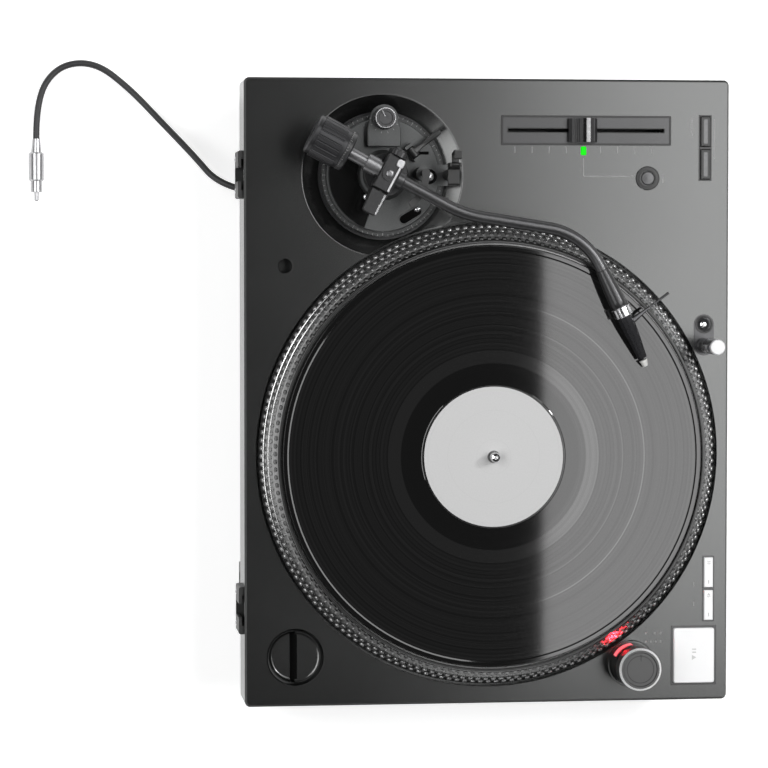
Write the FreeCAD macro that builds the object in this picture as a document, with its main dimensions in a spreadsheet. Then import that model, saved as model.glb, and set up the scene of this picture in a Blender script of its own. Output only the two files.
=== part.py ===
import FreeCAD, Part
import math
import os
import re
import Sketcher
from FreeCAD import Placement, Rotation, Vector

# Direct drive turntable with an S-shaped tonearm, a record on its slipmat and its signal lead.
# X runs from the rear panel to the front edge, Y along the long side, Z up.
# The origin lies under the middle of the deck, on the surface that the feet stand on.

os.makedirs("parts", exist_ok=True)
doc = FreeCAD.newDocument("turntable")
sheet = doc.addObject("Spreadsheet::Sheet", "sizes")
names = set()
pieces = []
Constraint = Sketcher.Constraint


def keep(values):
    for name, number in values.items():
        row = len(names) + 1
        sheet.set(f"A{row}", name)
        sheet.set(f"B{row}", f"={number}" if isinstance(number, str) else str(number))
        sheet.setAlias(f"B{row}", name)
        names.add(name)
    doc.recompute()


def full(text):
    return re.sub(r"[A-Za-z]\w*", lambda word: ("sizes." if word[0] in names else "") + word[0], str(text))


def value(text):
    return float(sheet.evalExpression(full(text)))


def bind(thing, field, text):
    thing.setExpression(field, full(text))


def rule(drawing, kind, *parts, size):
    number = value(size)
    index = drawing.addConstraint(Constraint(kind, *parts, math.radians(number) if kind == "Angle" else number))
    bind(drawing, f"Constraints[{index}]", f"({size}) * 1 deg" if kind == "Angle" else size)


def body(label, x="0", y="0", z="0", turn="0", axis=Vector(0, 0, 1)):
    # the hinge sockets stand proud of the rear, so all pieces move forward by half of that
    piece = doc.addObject("PartDesign::Body", label)
    piece.Label = label
    x = f"{x} + socketProud / 2"
    piece.Placement = Placement(Vector(value(x), value(y), value(z)), Rotation(axis, value(turn)))
    for field, text in (("Base.x", x), ("Base.y", y), ("Base.z", z), ("Rotation.Angle", turn)):
        bind(piece, f"Placement.{field}", text)
    pieces.append(piece)
    return piece


def sketch(piece, plane="XY", lift="0"):
    drawing = piece.newObject("Sketcher::SketchObject", f"{piece.Name}_sketch")
    base = [item for item in piece.Origin.OriginFeatures if item.Role == f"{plane}_Plane"][0]
    drawing.AttachmentSupport = [(base, "")]
    drawing.MapMode = "FlatFace"
    bind(drawing, "AttachmentOffset.Base.z", lift)
    return drawing


def pin(drawing, index, end, x, y):
    rule(drawing, "DistanceX", -1, 1, index, end, size=x)
    rule(drawing, "DistanceY", -1, 1, index, end, size=y)


def circle(drawing, radius, x="0", y="0"):
    centre = Vector(value(x), value(y), 0)
    index = drawing.addGeometry(Part.Circle(centre, Vector(0, 0, 1), value(radius)))
    pin(drawing, index, 3, x, y)
    rule(drawing, "Radius", index, size=radius)
    return drawing


def outline(drawing, points):
    count = len(points)
    spots = [Vector(value(x), value(y), 0) for x, y in points]
    first = drawing.GeometryCount
    for i in range(count):
        drawing.addGeometry(Part.LineSegment(spots[i], spots[(i + 1) % count]))
    for i in range(count):
        drawing.addConstraint(Constraint("Coincident", first + i, 2, first + (i + 1) % count, 1))
    for i, (x, y) in enumerate(points):
        pin(drawing, first + i, 1, x, y)
    return drawing


def box(drawing, wide, high, x="0", y="0"):
    corners = ((-1, -1), (1, -1), (1, 1), (-1, 1))
    return outline(drawing, [(f"{x} + {a} * ({wide}) / 2", f"{y} + {b} * ({high}) / 2") for a, b in corners])


def feature(piece, kind, drawing, **fields):
    step = piece.newObject(f"PartDesign::{kind}", f"{piece.Name}_{kind}")
    step.Profile = drawing
    for field, text in fields.items():
        if isinstance(text, str) and field != "SideType":
            bind(step, field, text)
        else:
            setattr(step, field, text)
    doc.recompute()
    return step


def pad(piece, drawing, length, **fields):
    return feature(piece, "Pad", drawing, Length=length, **fields)


def pocket(piece, drawing, length, **fields):
    before = piece.Shape.Volume
    step = feature(piece, "Pocket", drawing, Length=length, **fields)
    if piece.Shape.Volume > before - 1e-3:
        raise ValueError(f"{piece.Label}: a pocket cuts nothing")
    return step


def spin(piece, drawing, axis="V", kind="Revolution"):
    step = piece.newObject(f"PartDesign::{kind}", f"{piece.Name}_{kind}")
    step.Profile = drawing
    step.ReferenceAxis = (drawing, [f"{axis}_Axis"])
    step.Angle = 360
    doc.recompute()
    return step


def turned(label, points, x="0", y="0", z="0", turn="0", axis="V"):
    piece = body(label, x, y, z, turn)
    spin(piece, outline(sketch(piece, "XZ"), points), axis)
    return piece


def around(piece, step, count, axis=None):
    ring = piece.newObject("PartDesign::PolarPattern", f"{piece.Name}_ring")
    ring.Originals = [step]
    ring.Axis = axis or (step.Profile[0], ["N_Axis"])
    ring.Angle = 360
    bind(ring, "Occurrences", count)
    piece.Tip = ring
    doc.recompute()
    return ring


def edges(piece, test):
    shape = piece.Tip.Shape
    return [f"Edge{i + 1}" for i, edge in enumerate(shape.Edges) if test(edge)]


def soften(piece, kind, size, test):
    base = piece.Tip
    found = edges(piece, test)
    if not found:
        raise ValueError(f"{piece.Label}: no edge to soften")
    step = piece.newObject(f"PartDesign::{kind}", f"{piece.Name}_{kind}")
    step.Base = (base, found)
    bind(step, "Radius" if kind == "Fillet" else "Size", size)
    doc.recompute()
    return step


def upright(edge):
    box = edge.BoundBox
    return box.XLength < 1e-3 and box.YLength < 1e-3 and box.ZLength > 0.5


def at_height(text):
    height = value(text)
    return lambda edge: abs(edge.BoundBox.ZMin - height) < 1e-3 and abs(edge.BoundBox.ZMax - height) < 1e-3


def rim(text, radius, x="0", y="0"):
    # a round edge of one radius at one height of the piece's own frame
    def test(edge):
        if not at_height(text)(edge) or edge.Curve.TypeId != "Part::GeomCircle":
            return False
        middle = edge.Curve.Center
        near = abs(middle.x - value(x)) + abs(middle.y - value(y)) < 1e-3
        return near and abs(edge.Curve.Radius - value(radius)) < 1e-3
    return test


# Record, mat, platter and motor, each from the one inside it
driveSizes = {
    "recordRadius": 150.8, "recordThick": 1.9, "recordHole": 3.65, "recordEdge": 0.6, "grooveEdge": 4.3,
    "grooveOuter": "recordRadius - grooveEdge", "grooveSunk": 0.2, "labelRadius": 50, "labelThick": 0.1,
    "labelEdge": 1.5, "grooveInner": "labelRadius + labelEdge", "layerGap": 0.05,
    "matInset": 1.8, "matRadius": "recordRadius - matInset", "matThick": 2, "matHole": 3.9,
    "rimPlay": 1.2, "rimInner": "recordRadius + rimPlay", "rimLand": 1.6, "rimSlope": 14,
    "platterRadius": "rimInner + rimSlope", "platterFoot": 90, "platterLip": 3, "rimTop": 119.5, "platterDeck": 117,
    "platterThick": 4.5, "skirtWall": 6, "dotRows": 4, "dotGroove": 0.8, "hubRadius": 18, "hubDrop": 3.5,
    "motorOpening": 66, "magnetGap": 4, "magnetOuter": "motorOpening - magnetGap", "magnetThick": 12,
    "magnetInner": "magnetOuter - magnetThick", "magnetTall": 14.5, "coilGap": 4,
    "coilRadius": "magnetInner - coilGap", "coilTall": 22, "coilCount": 12, "coilSlot": 3, "statorPlate": 4,
    "flangeLap": 6, "statorFlange": "motorOpening + flangeLap", "ribCount": 12, "ribThick": 3, "ribDrop": 4,
    "ribStart": 1, "ribInner": "magnetOuter + ribStart", "ribEnd": 10, "ribOuter": "rimInner - ribEnd",
    "housingRadius": 12, "housingFoot": 60, "housingTop": 108, "spindleRadius": 3.575, "shaftRadius": 4.5,
    "spindleFoot": 67, "spindleTop": 132, "spindleNose": 2, "neckRise": 0.15, "neckLong": 0.5, "neckDeep": 0.25,
}
# Tonearm base: the height ring keeps clear of the platter, and that sets how long the deck is
armBaseSizes = {
    "runGap": 0.3, "seatGap": 0.1, "shaftGap": 0.05,
    "heightRing": 44, "heightRingTop": 99, "ringPlay": 2, "dishFloor": "heightRing + ringPlay", "dishDeep": 5.5,
    "dishSlope": 11.5, "dishRadius": "dishFloor + dishSlope", "ringNotches": 36, "notchRadius": 1,
    "barrelRadius": 36, "barrelFoot": 70, "bushWall": 5, "bushOuter": "barrelRadius + bushWall", "bushFlange": 4,
    "bushDeep": 20, "bushDrop": 0.5, "ringStep": 3.5, "carriageRadius": "heightRing - ringStep", "carriageTop": 102,
    "pillarTop": 117, "tabReach": 53, "tabWide": 15, "restAt": 47, "restRadius": 4, "restLong": 8,
    "restWide": 16, "restShelf": 3.2, "restWall": 2.8, "restTop": 139, "tubePlay": 0.6, "clipWide": 5,
    "clipThick": 1.4, "clipRise": 8, "clipPin": 1.2, "clipEye": 1.9, "clipOpen": 100,
    "skateY": 40, "skateWide": 24, "skateFoot": 14, "skateReach": 50, "skateTop": 109, "skateRadius": 8,
    "skateTall": 9, "liftRadius": 27, "liftWide": 5, "liftThick": 1.6, "liftFrom": -54, "liftTo": 8,
    "liftPost": 2.1, "postTurn": 2, "liftBoss": 5, "liftBossTop": 116, "liftGap": 0.35, "postFoot": 98,
    "leverAt": 26, "leverTurn": 38, "leverZ": 108, "leverPin": 1.2, "leverEye": 3, "leverLong": 24, "leverWide": 8,
    "leverThick": 2, "earThick": 2, "earWide": 6,
    "pivotGap": 4.7772, "pivotBack": 77, "pivotX": "-pivotBack",
    "pivotAway": "platterRadius + heightRing + pivotGap", "pivotAcross": "sqrt(pivotAway ^ 2 - pivotBack ^ 2)",
}
# Deck and its base
deckSizes = {
    "recessGap": 2, "recessRadius": "platterRadius + recessGap", "recessDeep": 10, "sideMargin": 8,
    "cabinetDeep": "2 * (recessRadius + sideMargin)", "leftMargin": 12, "armMargin": 69.5,
    "cabinetLong": "leftMargin + recessRadius + pivotAcross + armMargin", "deckTop": 96, "seam": 52,
    "platterY": "leftMargin + recessRadius - cabinetLong / 2", "pivotY": "cabinetLong / 2 - armMargin",
    "baseFloor": 24, "cornerRound": 4, "edgeBevel": 1.5, "cabinetWall": 10, "slabThick": 16, "baseInset": 3,
    "baseRound": 8, "baseWall": 8, "floorThick": 14, "socketProud": 4, "ledge": 2, "bezelTall": 5,
    "wellRadius": 20, "wellShallow": 5, "wellDeep": 9, "wellStep": 1.5, "storeRadius": 5, "storeDeep": 14,
    "footRadius": 30, "studRadius": 4, "studLong": 11, "studBoreDeep": 12,
}
# Places on the deck, measured inwards from its front, its rear and its two ends
placeSizes = {
    "faderFront": 105, "startFront": 24.7, "speedFront": 14, "rangeFront": 17.6, "resetFront": 60, "lampFront": 18,
    "towerFront": 70.8, "footFront": 41, "wellRear": 36.3, "storeRear": 29.7, "faderRight": 36.8,
    "rangeRight": 49, "resetRight": 71, "footRight": 40, "socketRight": 69, "bayRight": 91, "storeRight": 134.3,
    "startLeft": 32.5, "speedLeft": 81, "towerLeft": 27.1, "wellLeft": 35.3, "inletLeft": 79,
    "lampAlong": 78.1, "releaseAlong": 15.3, "glandAlong": 12, "groundAlong": 16,
}
# Controls on the deck
controlSizes = {
    "faderLong": 124, "faderWide": 21, "faderInset": 1.5, "faderProud": 0.2, "slotEnd": 5,
    "slotLong": "faderLong - 2 * slotEnd", "slotWide": 2.8, "faderOffset": -3, "capLong": 20.6, "capWide": 17,
    "capTall": 10, "startWide": 33.4, "startLong": 43.4, "startFrame": 1.4, "startTall": 2.2, "speedWide": 8.8,
    "speedLong": 48, "twinFrame": 0.9, "twinBar": 1.6, "twinTall": 1.4, "rangeWide": 9.4, "rangeLong": 47.6,
    "buttonDeep": 7, "resetRing": 8.7, "resetRadius": 4.7, "resetTall": 1.6, "resetDeep": 6, "resetProud": 0.8,
    "lampY": "platterY + lampAlong", "releaseY": "lampY + releaseAlong", "lampPanelRadius": 7.3, "lampRadius": 5.6,
    "lampUp": 44.5, "lampLong": 56.5, "guideWall": 0.8, "guideLong": 54, "releaseRadius": 2.9, "dimpleRadius": 5.6,
    "towerRadius": 15.5, "towerFlange": 17.2, "towerTall": 21, "knobTall": 13, "spigotRadius": 6,
    "windowWide": 15, "windowTall": 11, "windowDeep": 5, "windowFoot": 3.5, "windowTurn": 124.5,
}
# Tonearm
armSizes = {
    "armAxis": 134, "tubeYaw": -28, "runA": 60, "runB": 88, "runC": 61.5, "bendA": 19, "bendB": 54.9, "roundA": 80,
    "roundB": 50, "tubeRadius": 4.25, "rootRing": 5.6, "rootLong": 5, "sleeveLong": 14, "sleeveRadius": 5.6,
    "collarRadius": 6.8, "collarLong": 6, "blockLong": 14, "blockWide": 26.4, "blockTall": 13, "blockRound": 2,
    "yokeRadius": 15, "yokeTop": 140.5, "yokeGap": 0.5, "yokeCheek": 4, "yokeLong": 12, "yokeFloor": 3.2,
    "yokeReach": 29, "yokeTip": 6, "ridgeWide": 1.6, "ridgeTall": 2, "yawShaft": 4, "yawShaftLong": 13,
    "pinRadius": 1.5, "pinLong": 2, "pinHead": 3, "stubRadius": 4.5, "stubLong": 60, "weightAt": 36, "weightLong": 25,
    "weightRadius": 15.5, "weightStep": 1.2, "ringRadius": 14.5, "ringLong": 4.6, "bossRadius": 7, "dampRadius": 6.6,
    "dampLong": 9, "shellTail": 5.6, "shellBack": 5.5, "shellMid": 4.6, "shellNose": 3.4, "shellLong": 34,
    "stylusLong": 5, "stylusNose": 1.8, "tipDrop": 12.9, "tipRadius": 0.5, "shellDrop": 6.6, "liftRod": 1.1,
    "liftReach": 8, "liftLong": 20, "liftBend": 14, "liftRound": 14,
}
# Rear panel and lead
rearSizes = {
    "socketLong": 34, "socketDeep": 11, "socketFoot": 62, "socketTall": 30, "socketSlot": 5.4, "slotSpan": 22,
    "slotMouth": 10, "bayLong": 70, "bayDeep": 16, "bayTop": 50, "terminalThick": 2.5, "glandY": "bayY + glandAlong",
    "glandZ": 38, "glandRadius": 5.5, "glandLong": 11, "glandFlange": 8, "groundY": "bayY - groundAlong",
    "groundRadius": 2, "groundLong": 9, "nutRadius": 5, "nutLong": 5, "inletWide": 32, "inletTall": 24,
    "inletDeep": 22, "inletZ": 38, "inletFlange": 2, "inletLip": 3, "bladeRadius": 1.2, "bladeLong": 13,
    "bladeApart": 7, "cordRadius": 2.35, "plugZ": 5.6, "plugX": -322, "plugY": 184, "plugTail": 3.2,
    "plugTailLong": 10, "plugRadius": 5.5, "plugLong": 21, "plugShell": 4.2, "plugShellLong": 8, "plugPin": 1.6,
    "plugPinLong": 15,
}
inwards = {"Front": ("X", "cabinetDeep / 2 - "), "Rear": ("X", "-cabinetDeep / 2 + "),
           "Right": ("Y", "cabinetLong / 2 - "), "Left": ("Y", "-cabinetLong / 2 + ")}
for group in (driveSizes, armBaseSizes, deckSizes, placeSizes):
    keep(group)
for name in placeSizes:
    for side, (along, start) in inwards.items():
        if name.endswith(side):
            keep({name.removesuffix(side) + along: start + name})
for group in (controlSizes, armSizes, rearSizes):
    keep(group)
armX = "pivotX + runA * cos(tubeYaw) + runB * cos(tubeYaw + bendA)"
armY = "pivotY + runA * sin(tubeYaw) + runB * sin(tubeYaw + bendA)"
headTurn = "tubeYaw + bendA - bendB"


# Cabinet top: a die-cast shell with the platter recess, the dish of the tonearm and a seat for each control

def seat(piece, wide, long, x, y, deep="bezelTall"):
    pocket(piece, box(sketch(piece, lift="deckTop - seam"), wide, long, x, y), deep)
    pocket(piece, box(sketch(piece, lift="deckTop - seam"), f"{wide} - 2 * ledge / 2", f"{long} - ledge", x, y),
           "slabThick + 1")


def obround(drawing, radius, x, low, high):
    lo = Vector(value(x), value(low), 0)
    hi = Vector(value(x), value(high), 0)
    size = value(radius)
    side = Vector(size, 0, 0)
    up = Vector(0, size, 0)
    first = drawing.GeometryCount
    drawing.addGeometry(Part.LineSegment(lo + side, hi + side))
    drawing.addGeometry(Part.ArcOfCircle(Part.Circle(hi, Vector(0, 0, 1), size), 0, math.pi))
    drawing.addGeometry(Part.LineSegment(hi - side, lo - side))
    drawing.addGeometry(Part.ArcOfCircle(Part.Circle(lo, Vector(0, 0, 1), size), math.pi, 2 * math.pi))
    for i in range(4):
        drawing.addConstraint(Constraint("Tangent", first + i, 2, first + (i + 1) % 4, 1))
    pin(drawing, first + 1, 3, x, high)
    rule(drawing, "DistanceY", first + 3, 3, first + 1, 3, size=f"{high} - ({low})")
    rule(drawing, "Radius", first + 1, size=radius)
    return drawing


def cabinet_top():
    piece = body("cabinet_top", z="seam")
    tall = "deckTop - seam"
    pad(piece, box(sketch(piece), "cabinetDeep", "cabinetLong"), tall)
    soften(piece, "Fillet", "cornerRound", upright)
    soften(piece, "Chamfer", "edgeBevel", at_height(tall))
    inner = ("cabinetDeep - 2 * cabinetWall", "cabinetLong - 2 * cabinetWall")
    pocket(piece, box(sketch(piece), *inner), f"{tall} - slabThick", Reversed=True)
    pocket(piece, circle(sketch(piece, lift=tall), "recessRadius", "0", "platterY"), "recessDeep")
    pocket(piece, circle(sketch(piece, lift=tall), "motorOpening", "0", "platterY"), "slabThick + 1")
    dish = piece.newObject("PartDesign::SubtractiveCone", "dish")
    dish.AttachmentSupport = sketch(piece).AttachmentSupport
    dish.MapMode = "FlatFace"
    dish.Radius1, dish.Radius2, dish.Height = value("dishFloor"), value("dishRadius"), value("dishDeep")
    for field, text in (("AttachmentOffset.Base.x", "pivotX"), ("AttachmentOffset.Base.y", "pivotY"),
                        ("AttachmentOffset.Base.z", f"{tall} - dishDeep"), ("Radius1", "dishFloor"),
                        ("Radius2", "dishRadius"), ("Height", "dishDeep")):
        bind(dish, field, text)
    doc.recompute()
    pocket(piece, circle(sketch(piece, lift=tall), "dishFloor", "pivotX", "pivotY"), "slabThick + 1")
    pocket(piece, circle(sketch(piece, lift=tall), "wellRadius", "wellX", "wellY"), "wellShallow")
    half = sketch(piece, lift=tall)
    arc = Part.Circle(Vector(value("wellX"), value("wellY"), 0), Vector(0, 0, 1), value("wellRadius - wellStep"))
    half.addGeometry(Part.ArcOfCircle(arc, math.pi / 2, 3 * math.pi / 2))
    half.addGeometry(Part.LineSegment(half.Geometry[0].EndPoint, half.Geometry[0].StartPoint))
    half.addConstraint(Constraint("Coincident", 0, 2, 1, 1))
    half.addConstraint(Constraint("Coincident", 0, 1, 1, 2))
    half.addConstraint(Constraint("Vertical", 1))
    half.addConstraint(Constraint("PointOnObject", 0, 3, 1))
    pin(half, 0, 3, "wellX", "wellY")
    rule(half, "Radius", 0, size="wellRadius - wellStep")
    pocket(piece, half, "wellDeep")
    soften(piece, "Chamfer", "edgeBevel / 2", rim(tall, "wellRadius", "wellX", "wellY"))
    pocket(piece, circle(sketch(piece, lift=tall), "storeRadius", "storeX", "storeY"), "storeDeep")
    soften(piece, "Chamfer", "edgeBevel / 2", rim(tall, "storeRadius", "storeX", "storeY"))
    pocket(piece, box(sketch(piece, lift=tall), "faderLong", "faderWide", "faderX", "faderY"), "faderInset")
    pocket(piece, box(sketch(piece, lift=tall), "slotLong + 2", "slotWide + 6", "faderX", "faderY"), "slabThick + 1")
    seat(piece, "startWide", "startLong", "startX", "startY")
    seat(piece, "speedWide", "speedLong", "speedX", "speedY")
    seat(piece, "rangeWide", "rangeLong", "rangeX", "rangeY")
    pad(piece, circle(sketch(piece, lift=tall), "resetRing", "resetX", "resetY"), "resetProud")
    soften(piece, "Chamfer", "resetProud / 2", rim(f"{tall} + resetProud", "resetRing", "resetX", "resetY"))
    pocket(piece, circle(sketch(piece, lift=f"{tall} + resetProud"), "resetRadius + runGap", "resetX", "resetY"),
           "slabThick + 2")
    pocket(piece, obround(sketch(piece, lift=tall), "lampPanelRadius", "lampX", "lampY", "releaseY"), "3")
    pocket(piece, obround(sketch(piece, lift=tall), "lampRadius + guideWall + 2 * seatGap", "lampX", "lampY",
                          "releaseY"), "slabThick + 1")
    for side in (1, -1):
        notch = box(sketch(piece, lift="socketFoot - seam"), "2 * (socketDeep - socketProud)", "socketLong",
                    "-cabinetDeep / 2", f"{side} * socketY")
        pocket(piece, notch, "socketTall", Reversed=True)
    return piece


def base_mould():
    piece = body("base_mould", z="baseFloor")
    tall = "seam - baseFloor"
    deep, long = "cabinetDeep - 2 * baseInset", "cabinetLong - 2 * baseInset"
    pad(piece, box(sketch(piece), deep, long), tall)
    soften(piece, "Fillet", "baseRound", upright)
    soften(piece, "Chamfer", "edgeBevel * 2", at_height("0"))
    # the rear wall is thick enough for the bay, so the hollow lies off centre
    inner = (f"{deep} - 2 * baseWall - bayDeep", f"{long} - 2 * baseWall", "bayDeep / 2")
    pocket(piece, box(sketch(piece, lift=tall), *inner), f"{tall} - floorThick")
    studs = sketch(piece)
    for side in (1, -1):
        for end in (1, -1):
            circle(studs, "studRadius + shaftGap", f"{side} * footX", f"{end} * footY")
    pocket(piece, studs, "studBoreDeep", Reversed=True)
    rear = "-cabinetDeep / 2 + baseInset"
    bay = box(sketch(piece, lift="-1"), "2 * bayDeep", "bayLong", rear, "bayY")
    pocket(piece, bay, "bayTop - baseFloor + 1", Reversed=True)
    hole = sketch(piece, "YZ", lift=rear)
    box(hole, "inletWide", "inletTall", "inletY", "inletZ - baseFloor")
    pocket(piece, hole, "inletDeep + 2", Reversed=True)
    return piece


def foot(label, side, end):
    piece = turned(label, [("0", "0"), ("footRadius - 4", "0"), ("footRadius - 3", "1"), ("footRadius - 3", "4"),
                           ("footRadius", "6"), ("footRadius - 1", "baseFloor - 5"), ("footRadius - 5", "baseFloor - 1"),
                           ("footRadius - 14", "baseFloor - runGap"), ("studRadius", "baseFloor - runGap"),
                           ("studRadius", "baseFloor + studLong"), ("0", "baseFloor + studLong")],
                   f"{side} * footX", f"{end} * footY")
    grip = circle(sketch(piece, lift="6"), "1.6", "footRadius + 0.4", "0")
    around(piece, pocket(piece, grip, "14", Reversed=True), "12")
    return piece


# Controls

def twin_bezel(label, kind):
    piece = body(label, f"{kind}X", f"{kind}Y", "deckTop - bezelTall")
    pad(piece, box(sketch(piece), f"{kind}Wide", f"{kind}Long"), "bezelTall + 0.4")
    for side in (1, -1):
        window = box(sketch(piece, lift="bezelTall + 1"), f"{kind}Wide - 2 * twinFrame",
                     f"({kind}Long - 2 * twinFrame - twinBar) / 2", "0",
                     f"{side} * ({kind}Long - 2 * twinFrame + twinBar) / 4")
        pocket(piece, window, "bezelTall + 2")
    return piece


def twin_button(label, kind, side):
    piece = body(label, f"{kind}X", f"{kind}Y + {side} * ({kind}Long - 2 * twinFrame + twinBar) / 4",
                 "deckTop - buttonDeep + 0.4")
    wide = f"{kind}Wide - 2 * (twinFrame + runGap)"
    long = f"({kind}Long - 2 * twinFrame - twinBar) / 2 - 2 * runGap"
    pad(piece, box(sketch(piece), wide, long), "buttonDeep + twinTall")
    soften(piece, "Fillet", "0.6", at_height("buttonDeep + twinTall"))
    return piece


def start_bezel():
    piece = body("start_bezel", "startX", "startY", "deckTop - bezelTall")
    pad(piece, box(sketch(piece), "startWide", "startLong"), "bezelTall + 0.5")
    opening = box(sketch(piece, lift="bezelTall + 1"), "startWide - 2 * startFrame", "startLong - 2 * startFrame")
    pocket(piece, opening, "bezelTall + 2")
    soften(piece, "Fillet", "1.2", upright)
    return piece


def start_button():
    piece = body("start_button", "startX", "startY", "deckTop - buttonDeep")
    gap = "2 * (startFrame + runGap)"
    pad(piece, box(sketch(piece), f"startWide - {gap}", f"startLong - {gap}"), "buttonDeep + startTall")
    soften(piece, "Fillet", "1.5", upright)
    soften(piece, "Fillet", "0.8", at_height("buttonDeep + startTall"))
    return piece


def fader_panel():
    piece = body("fader_panel", "faderX", "faderY", "deckTop - faderInset")
    pad(piece, box(sketch(piece), "faderLong", "faderWide"), "faderInset + faderProud")
    pocket(piece, box(sketch(piece, lift="3"), "slotLong", "slotWide"), "4")
    soften(piece, "Chamfer", "faderProud / 2", at_height("faderInset + faderProud"))
    return piece


def fader_body():
    piece = body("fader_body", "faderX", "faderY", "deckTop - slabThick - 12")
    pad(piece, box(sketch(piece), "slotLong + 8", "slotWide + 12"), "12")
    pocket(piece, box(sketch(piece, lift="12"), "slotLong", "slotWide"), "9")
    return piece


def fader_cap():
    piece = body("fader_cap", "faderX + faderOffset", "faderY", "deckTop + faderProud + runGap")
    profile = outline(sketch(piece, "XZ"), [
        ("-capLong / 2", "0"), ("capLong / 2", "0"), ("capLong / 2", "capTall * 0.35"),
        ("capLong * 0.36", "capTall * 0.8"), ("capLong * 0.2", "capTall"), ("capLong * 0.06", "capTall"),
        ("-capLong * 0.02", "capTall * 0.72"), ("-capLong * 0.4", "capTall * 0.55"), ("-capLong / 2", "capTall * 0.35"),
    ])
    pad(piece, profile, "capWide", SideType="Symmetric")
    grip = box(sketch(piece, "XZ"), "0.7", "1.2", "-capLong * 0.38", "capTall * 0.6")
    cut = pocket(piece, grip, "capWide + 2", SideType="Symmetric")
    row = piece.newObject("PartDesign::LinearPattern", "grips")
    row.Originals = [cut]
    row.Direction = (cut.Profile[0], ["H_Axis"])
    bind(row, "Length", "capLong * 0.3")
    row.Occurrences = 5
    piece.Tip = row
    doc.recompute()
    pad(piece, box(sketch(piece), "8", "slotWide - 2 * runGap"), "slabThick + 4", Reversed=True)
    return piece


def reset_button():
    return turned("reset_button", [("0", "deckTop - resetDeep"), ("resetRadius", "deckTop - resetDeep"),
                                   ("resetRadius", "deckTop + resetTall - 0.5"),
                                   ("resetRadius - 0.6", "deckTop + resetTall"), ("0", "deckTop + resetTall + 0.3")],
                  "resetX", "resetY")


def lamp_panel():
    piece = body("lamp_panel", "lampX", "0", "deckTop - 3")
    pad(piece, obround(sketch(piece), "lampPanelRadius", "0", "lampY", "releaseY"), "3.5")
    pad(piece, circle(sketch(piece), "lampRadius + guideWall", "0", "lampY"), "guideLong", Reversed=True)
    pocket(piece, circle(sketch(piece, lift="4"), "lampRadius + seatGap", "0", "lampY"), "guideLong + 6")
    pocket(piece, circle(sketch(piece, lift="4"), "releaseRadius + runGap", "0", "releaseY"), "6")
    dimple = rim("3.5", "releaseRadius + runGap", "0", "releaseY")
    soften(piece, "Chamfer", "dimpleRadius - releaseRadius - runGap", dimple)
    return piece


def lamp_release():
    return turned("lamp_release", [("0", "deckTop - 9"), ("releaseRadius", "deckTop - 9"),
                                   ("releaseRadius", "deckTop - 0.6"), ("releaseRadius * 0.87", "deckTop + 0.3"),
                                   ("releaseRadius * 0.5", "deckTop + 0.9"), ("0", "deckTop + 1.1")],
                  "lampX", "releaseY")


def target_lamp():
    piece = turned("target_lamp", [("0", "-lampLong"), ("lampRadius - 0.6", "-lampLong"), ("lampRadius", "0.6 - lampLong"),
                                   ("lampRadius", "-1"), ("lampRadius - 1", "0"), ("0", "0")],
                   "lampX", "lampY", "deckTop + lampUp")
    beam = box(sketch(piece, "YZ", lift="-lampRadius"), "lampRadius * 1.1", "6", "0", "-6.5")
    pocket(piece, beam, "lampRadius * 0.8", Reversed=True)
    return piece


def strobe_tower():
    piece = turned("strobe_tower", [("0", "0"), ("towerFlange", "0"), ("towerFlange", "0.8"),
                                    ("towerFlange - 0.7", "1.5"), ("towerRadius", "1.5"), ("towerRadius", "towerTall"),
                                    ("spigotRadius", "towerTall"), ("spigotRadius", "towerTall + knobTall * 0.55"),
                                    ("0", "towerTall + knobTall * 0.55")],
                   "towerX", "towerY", "deckTop", "windowTurn")
    notch = box(sketch(piece, lift="windowFoot"), "2 * windowDeep", "windowWide", "towerRadius", "0")
    pocket(piece, notch, "windowTall", Reversed=True)
    return piece


def strobe_window():
    piece = turned("strobe_window", [("0", "0"), ("towerRadius", "0"), ("towerRadius", "windowTall"),
                                     ("0", "windowTall")], "towerX", "towerY", "deckTop + windowFoot", "windowTurn")
    keep = "towerRadius - windowDeep"
    pocket(piece, box(sketch(piece, lift="windowTall + 1"), f"{keep} + 2 * towerRadius", "4 * towerRadius",
                      f"({keep} - 2 * towerRadius) / 2", "0"), "windowTall + 2")
    for side in (1, -1):
        pocket(piece, box(sketch(piece, lift="windowTall + 1"), "4 * towerRadius", "towerRadius", "0",
                          f"{side} * (windowWide / 2 + towerRadius / 2)"), "windowTall + 2")
    return piece


def power_knob():
    piece = turned("power_knob", [
        ("spigotRadius + seatGap", "runGap"), ("towerRadius", "runGap"), ("towerRadius", "knobTall - 1.6"),
        ("towerRadius - 1.6", "knobTall"), ("towerRadius - 3.2", "knobTall"), ("towerRadius - 3.6", "knobTall - 0.8"),
        ("0", "knobTall - 0.8"), ("0", "knobTall * 0.55 + runGap"), ("spigotRadius + seatGap", "knobTall * 0.55 + runGap"),
    ], "towerX", "towerY", "deckTop + towerTall")
    mark = box(sketch(piece, lift="knobTall"), "1.2", "4.5", "0", "towerRadius - 7")
    pocket(piece, mark, "1.3")
    return piece


# Platter with its strobe rows, motor, bearing and spindle

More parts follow.
